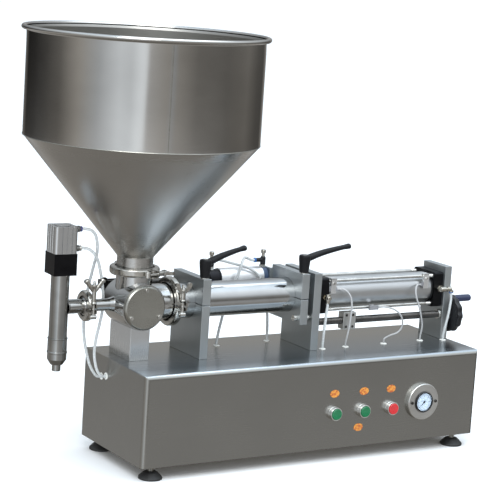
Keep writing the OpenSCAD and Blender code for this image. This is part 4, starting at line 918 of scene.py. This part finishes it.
def make_switches():
    p = Piece("switches", "strap")
    y, z, low = -TIE, AXIS + TIE, AXIS - TIE
    for x in (LEFT + 527, LEFT + 781):
        p.block((x - 7, y - 10, z - 27), (x + 7, y - 8, z + 7), 0.5)
        p.block((x - 7, y - 10, z + 4.6), (x + 7, y + 5, z + 7), 0.7)
        p.block((x - 7, y - 9, z - 10), (x + 7, y - 4.2, z + 6), 0.5)
        p.hexagon(5.5, 2.2, (x, y - 9.9, z - 4), FORWARD, mat="screw")
    for x in (LEFT + 517, LEFT + 769):
        p.block((x, y - 8, AXIS + 9.5), (x + 21, y - 4, AXIS + 18.5), mat="grey")
        p.lathe([(0, 0), (1.4, 0), (1.4, 0.25), (0, 0.3)], (x + 17, y - 8, AXIS + 14), FORWARD, seg=16,
                r=0.05, mat="blue")
    x = LEFT + 626
    p.block((x, y - 14, low - 5), (x + 24, y - 8, low + 5), 0.9, mat="grey")
    p.block((x + 7, y - 8.2, low - 5), (x + 17, y - 4.2, low + 5), 0.5)
    p.block((x + 7, y - 6, low + 4.1), (x + 17, y + 5, low + 5.4), 0.4)
    p.done("switch_steel", "reed_switches")


# ---- fittings, lines, cables

def nozzle_fittings(p):
    side = spin(NOZZLE_TURN).to_3x3() @ Vector(X)
    for z, ring in ((499, "violet"), (459, "screw")):
        o = Vector((NOZZLE_X, 0, z)) + side * 25
        p.hexagon(12.9, 6.5, o, side, mat="dull")
        p.rod(6.6, 6, o + side * 6.4, side, 32, 0.9, "dull")
        p.lathe([(LINE_BORE, 0), (5.9, 0), (6.1, 1), (5.2, 1.6), (6.0, 4.8), (LINE_BORE, 5.4)],
                o + side * 12.4, side, r=0.5, mat=ring)


def front_cap_fitting(p):
    x, y, z = BULKHEAD_X + 43, -40, AXIS - 2
    p.hexagon(13.9, 8, (x, y, z), FORWARD, mat="brass")
    p.rod(6.4, 10, (x, y - 6, z), FORWARD, 32, 0.8, "brass")
    p.lathe(chamfered(5.2, 6), (x, y - 16, z), FORWARD, seg=12, r=0.4)
    p.lathe([(LINE_BORE, 0), (5.0, 0), (5.4, 2), (6.0, 6), (6.0, 19), (0, 20), (0, 6), (LINE_BORE, 5)],
            (x, y - 14, z - 10), r=0.6)
    p.lathe(stepped(LINE_BORE, -0.5, 5.1, 1, LINE_BORE), (x, y - 14, z - 11), r=0.2)


def rear_cap_fitting(p):
    x, y, z = REAR_CAP_X + 12, -40, AXIS + 4
    p.hexagon(14, 9, (x, y, z), FORWARD)
    p.rod(6.0, 12, (x, y - 8, z), FORWARD, 32, 0.8)
    p.rod(6.0, 14, (x - 7, y - 18, z), X, 32, 1.0)
    p.rod(4.2, 5, (x + 7, y - 18, z), X)
    p.lathe(chamfered(5.9, 11), (x + 12, y - 18, z), X, seg=14, r=0.5)
    p.lathe([(LINE_BORE, 0), (5.0, 0), (5.4, 1), (5.4, 5), (0, 6), (0, 3), (LINE_BORE, 2)], (487, -58, z - 8),
            r=0.4)
    p.lathe(stepped(LINE_BORE, -1, 5.2, 0.8, LINE_BORE), (487, -58, z - 8), r=0.2, mat="blue")


def actuator_fittings(p):
    for x, s, line_x, z in ((ACTUATOR_X + 15, 1, -62, 404), (ACTUATOR_X + 148, -1, 40, 400)):
        def up(height):
            return x, CRANK_Y, ACTUATOR_Z + height

        p.hexagon(11.6, 8, up(19), mat="screw")
        p.lathe([(0, 0), (5.6, 0), (6.0, 1), (6.0, 15), (4.4, 18), (0, 18)], up(27), seg=36, r=0.8,
                mat="black_gloss")
        p.rod(3.4, 9, up(44), Z, 28, 0.3)
        p.lathe([(0, 0), (4.6, 0), (5.5, 1), (5.5, 7), (4.6, 8), (0, 8)], up(52), seg=16, r=0.4)
        p.rod(4.8, abs(line_x - x) - 4, (x + s * 3, CRANK_Y, z), (s, 0, 0), 32, 0.6, "black_gloss")
        p.lathe([(LINE_BORE, -3), (5.4, -3), (5.4, -1.2), (4.7, 0), (LINE_BORE, 0)], (line_x, CRANK_Y, z),
                (s, 0, 0), mat="blue")


def inlet_fitting(p):
    o = Vector((RIGHT - 150, REAR, 90))
    p.hexagon(22, 7, o, Y)
    p.lathe([(4, 2), (9.6, 2), (9.6, 14), (8.8, 15.5), (4, 15.5)], o, Y, seg=40, r=0.6)
    p.lathe([(4, 15.5), (7.6, 15.5), (7.6, 17.2), (7.0, 18), (4, 18)], o, Y, seg=40, mat="blue")
    p.rod(7.9, 16, o - Vector((0, 16, 0)), Y, 32, 0.5)


def make_fittings():
    p = Piece("fittings", "nickel")
    for part in (nozzle_fittings, front_cap_fitting, rear_cap_fitting, actuator_fittings, inlet_fitting):
        part(p)
    p.done("fitting_nickel", "air_fittings")


ROUTES = {
    "nozzle_air_lines": (
        [(-432.1, -1.9, 499), (-426.1, -2.1, 499), (-413, -3, 496), (-401, -1, 486), (-392, 6, 467),
         (-387, 14, 446), (-386, 24, 426), (-386, 36, 398), (-388, 45, 366), (-391, 48, 330), (-393, 48, 292),
         (-391, 46, 258), (-386, 42, 228), (-380, 36, 202), (-372, 30, 185), (-364, 28, 178),
         (-349, 28, 178)],
        [(-432.1, -1.9, 459), (-426.1, -2.1, 459), (-412, -2, 455), (-398, 2, 444), (-386, 8, 426),
         (-376, 14, 400), (-368, 19, 372), (-364, 21, 345), (-365, 21, 318), (-370, 20, 292), (-378, 17, 262),
         (-383, 12, 232), (-380, 8, 206), (-373, 7, 190), (-364, 7, 183), (-349, 7, 183)]),
    "actuator_air_lines": (
        [(40, 85, 400), (34, 85, 400), (24, 84, 404), (12, 78, 408), (1, 68, 405), (-10, 58, 392),
         (-22, 52, 368), (-38, 48, 338), (-54, 44, 302), (-66, 39, 266), (-73, 37, 234), (-73, 37, 217)],
        [(-62, 85, 404), (-56, 85, 404), (-42, 84, 402), (-24, 82, 397), (-4, 77, 392), (16, 68, 386),
         (34, 60, 374), (46, 56, 354), (54, 54, 328), (59, 50, 300), (61, 47, 266), (62, 46, 234),
         (62, 46, 217)]),
    "cylinder_air_lines": (
        [(150, -54, 324), (150, -54, 318), (148, -55, 304), (146, -56, 286), (144, -56, 260), (143, -56, 234),
         (143, -56, 217)],
        [(487, -58, 334), (487, -58, 328), (488, -58, 318), (486, -59, 302), (482, -60, 280), (477, -59, 254),
         (474, -58, 234), (474, -58, 217)]),
    "sensor_cables": (
        [(183, -38, 352), (188, -38, 352), (197, -41, 352), (206, -48, 346), (212, -54, 333), (214, -56, 312),
         (213, -56, 290), (210, -56, 262), (206, -54, 234), (206, -54, 217)],
        [(295, -43, 306), (300, -43, 306), (310, -46, 307), (322, -50, 305), (336, -53, 300), (349, -54, 290),
         (358, -54, 275), (358, -53, 259), (348, -52, 247), (328, -51, 241), (314, -51, 235), (312, -51, 229),
         (312, -51, 217)],
        [(413.8, -38, 352), (409, -38, 352), (402, -41, 352), (395, -46, 346), (392, -51, 334),
         (397, -52, 318), (405, -52, 300), (412, -52, 278), (417, -51, 256), (416, -48, 234),
         (416, -48, 217)]),
}


def make_lines():
    for node, routes in ROUTES.items():
        cable = node == "sensor_cables"
        name = "sensor_leads" if cable else node.replace("air_lines", "tubing")
        p = Piece(name, "cable" if cable else "line")
        for pts in routes:
            p.tube(pts, 2.0 if cable else 3.0, seg=14, sub=5)
        p.done("cable_grey" if cable else "air_line", node)


def make_grommets():
    """A ring in the deck where each line ends, and two in the left side"""
    p = Piece("grommets", "white")
    for node, routes in ROUTES.items():
        bore = 2.05 if node == "sensor_cables" else LINE_BORE
        ring = [(bore, -3.5), (6, -3.5), (6, -2.05), (4.9, -2.05), (4.9, 0.05), (7.5, 0.05), (7.5, 0.9),
                (6.2, 1.9), (bore + 0.8, 1.9), (bore, 1.4)]
        for *_, (x, y, z) in routes:
            if node == "nozzle_air_lines":
                p.lathe(ring, (LEFT, y, z), (-1, 0, 0), seg=36, r=0.35)
            else:
                p.lathe(ring, (x, y, DECK), seg=36, r=0.35)
    p.done("white_rubber", "deck_grommets")


# ---- levers, stroke setting, actuator

def lever_radius(u):
    """Radius of a lever's arm along it: it tapers, then swells to a blunt end"""
    if u > 0.95:
        return 7.4 * sqrt(max(0.04, 1 - ((u - 0.95) / 0.05) ** 2))
    if u > 0.80:
        return 6.3 + 1.1 * sin((u - 0.80) / 0.15 * pi / 2)
    return 9.8 - 3.5 * min(1.0, u / 0.75)


def make_levers():
    hub = PLATE_TOP + 2
    for x, y, turn, name, side in ((CLAMP_PLATE_X + 9.5, -52, 14, "lever_a", "left"),
                                   (END_PLATE_X + 9.5, -50, 0, "lever_b", "right")):
        p = Piece(name, "black", shift(x, y, 0) @ spin(turn))
        p.rod(4.95, 95, (0, 0, AXIS - 26), Z, 28, 0.3, "screw")
        p.lathe(stepped(5, 0, 9, 2, 5), (0, 0, PLATE_TOP), seg=40, mat="screw")
        p.lathe([(5, 0), (10, 0), (10.2, 3), (11.6, 16), (12.9, 30), (12.9, 36), (11, 38.5), (6.4, 39),
                 (6.2, 37.5), (5, 37.5)], (0, 0, hub), seg=56, r=1.2, n=4)
        p.lathe([(0, 0), (5.9, 0), (5.9, 1.2), (4.4, 1.7), (0, 1.8)], (0, 0, hub + 37), mat="screw")
        arm = ((0, 29), (14, 33), (32, 38.5), (52, 43.5), (72, 47.5), (92, 51), (106, 53), (117, 54.5))
        p.tube([(along, 0, hub + up) for along, up in arm], lever_radius, seg=24, sub=6, squash=0.82)
        p.done("lever_black", "clamp_lever_" + side, body="lever_" + side, smooth=50)


def make_stroke_setting():
    def at(x, up=0):
        return x, SCREW_Y, SCREW_Z + up

    p = Piece("screw_shaft", "dark_steel")
    start, wheel, pin = BULKHEAD_X + PLATE_T, TAIL_X + PLATE_T, 34
    p.thread(8.0, TAIL_X - start - 3, at(start + 1), X, 4.0, 0.9, 32, 8)
    p.rod(5.98, 10, at(start - 8), X)
    p.lathe(stepped(7, 0, 11, 6, 7), at(TAIL_X - 8), X, seg=48, r=0.6, mat="screw")
    p.rod(5.98, 42, at(TAIL_X - 2), X, mat="screw")
    p.done("dark_steel", "lead_screw", body="screw")

    # Dark socket screws over the nut block's four holes; their dark colour is painted shade standing in for
    # the shadowed holes
    p = Piece("nut_sockets_painted_shade", "dark_steel")
    for x in (LEFT + 564, LEFT + 581):
        for up in (-13, 13):
            p.lathe(stepped(0, 1.2, 1.7, -0.5, 3.0, 0.1, 1.98, 2.5, 0), (x, SCREW_Y - 10.6, SCREW_Z + up), Y,
                    seg=28, r=0.1)
    p.done("nut_steel", body="nut_block")

    p = Piece("wheel", "black_gloss")
    p.lathe([(6, 0), (15, 0), (15, 4), (37, 4), (41.5, 5), (43, 8), (43, 15), (41.5, 18), (38.5, 19),
             (33, 19), (31, 12.5), (17, 12.5), (15.5, 13.5), (15, 22), (6, 22)], at(wheel), X, Z, seg=192,
            r=1.2, n=4,
            warp=lambda a, q, h: -2.6 * (0.5 - 0.5 * cos(12 * a)) if q > 38 else 0.0)
    p.lathe(stepped(0, 0, 9, 7, 0), at(wheel + 12, pin), X, seg=40, r=0.8)
    p.rod(2.98, RIGHT + 62 - wheel - 6, at(wheel + 6, pin), X, 24, mat="screw")
    p.lathe([(0, 0), (5.5, 0), (5.5, 0.6), (0, 0.9)], at(wheel + 21.2), X, r=0.2, mat="screw")
    p.done("handwheel_black", "handwheel", body="screw")

    p = Piece("wheel_grip", "blue_black")
    grip = wheel + 19.2
    end = RIGHT + 65 - grip
    p.lathe([(LINE_BORE, 0), (6, 0), (7.2, 2.5), (8, 8), (8, end - 5), (7.2, end - 1.5), (5.5, end), (0, end),
             (0, end - 2.5), (LINE_BORE, end - 2.5)], at(grip, pin), X, seg=48, r=0.8, n=4)
    p.done("grip_blue_black", "crank_grip", body="grip")


def make_actuator():
    def at(x):
        return x, CRANK_Y, ACTUATOR_Z

    p = Piece("valve_cylinder", "aluminium")
    rear, tip = ACTUATOR_X + 141, END_PLATE_X - 6
    p.lathe(stepped(19.5, 0, 22.5, 109, 19.5), at(ACTUATOR_X + 32), X, seg=96, r=0.5, mat="strap")
    p.lathe([(7.05, 0), (13, 0), (13, 4), (21, 4), (21, 27), (20.2, 28), (20.2, 32), (7.05, 32)],
            at(ACTUATOR_X), X, seg=80, r=0.6, mat="anodised")
    p.lathe([(0, 0), (21, 0), (21, tip - rear - 1), (19.8, tip - rear), (0, tip - rear)], at(rear), X, seg=80,
            r=0.6, mat="blue_cap")
    p.thread(8.9, 24, at(tip), X, 1.5, 0.7, 28, mat="screw")
    p.done("cylinder_aluminium", "valve_actuator")


for make in (make_feet, make_screws, make_buttons, make_labels, make_gauge, make_hopper, make_clamps,
             make_wing_nuts, make_valve_covers, make_nozzle, make_product_tube, make_air_cylinder,
             make_switches, make_fittings, make_lines, make_grommets, make_levers, make_stroke_setting,
             make_actuator):
    make()
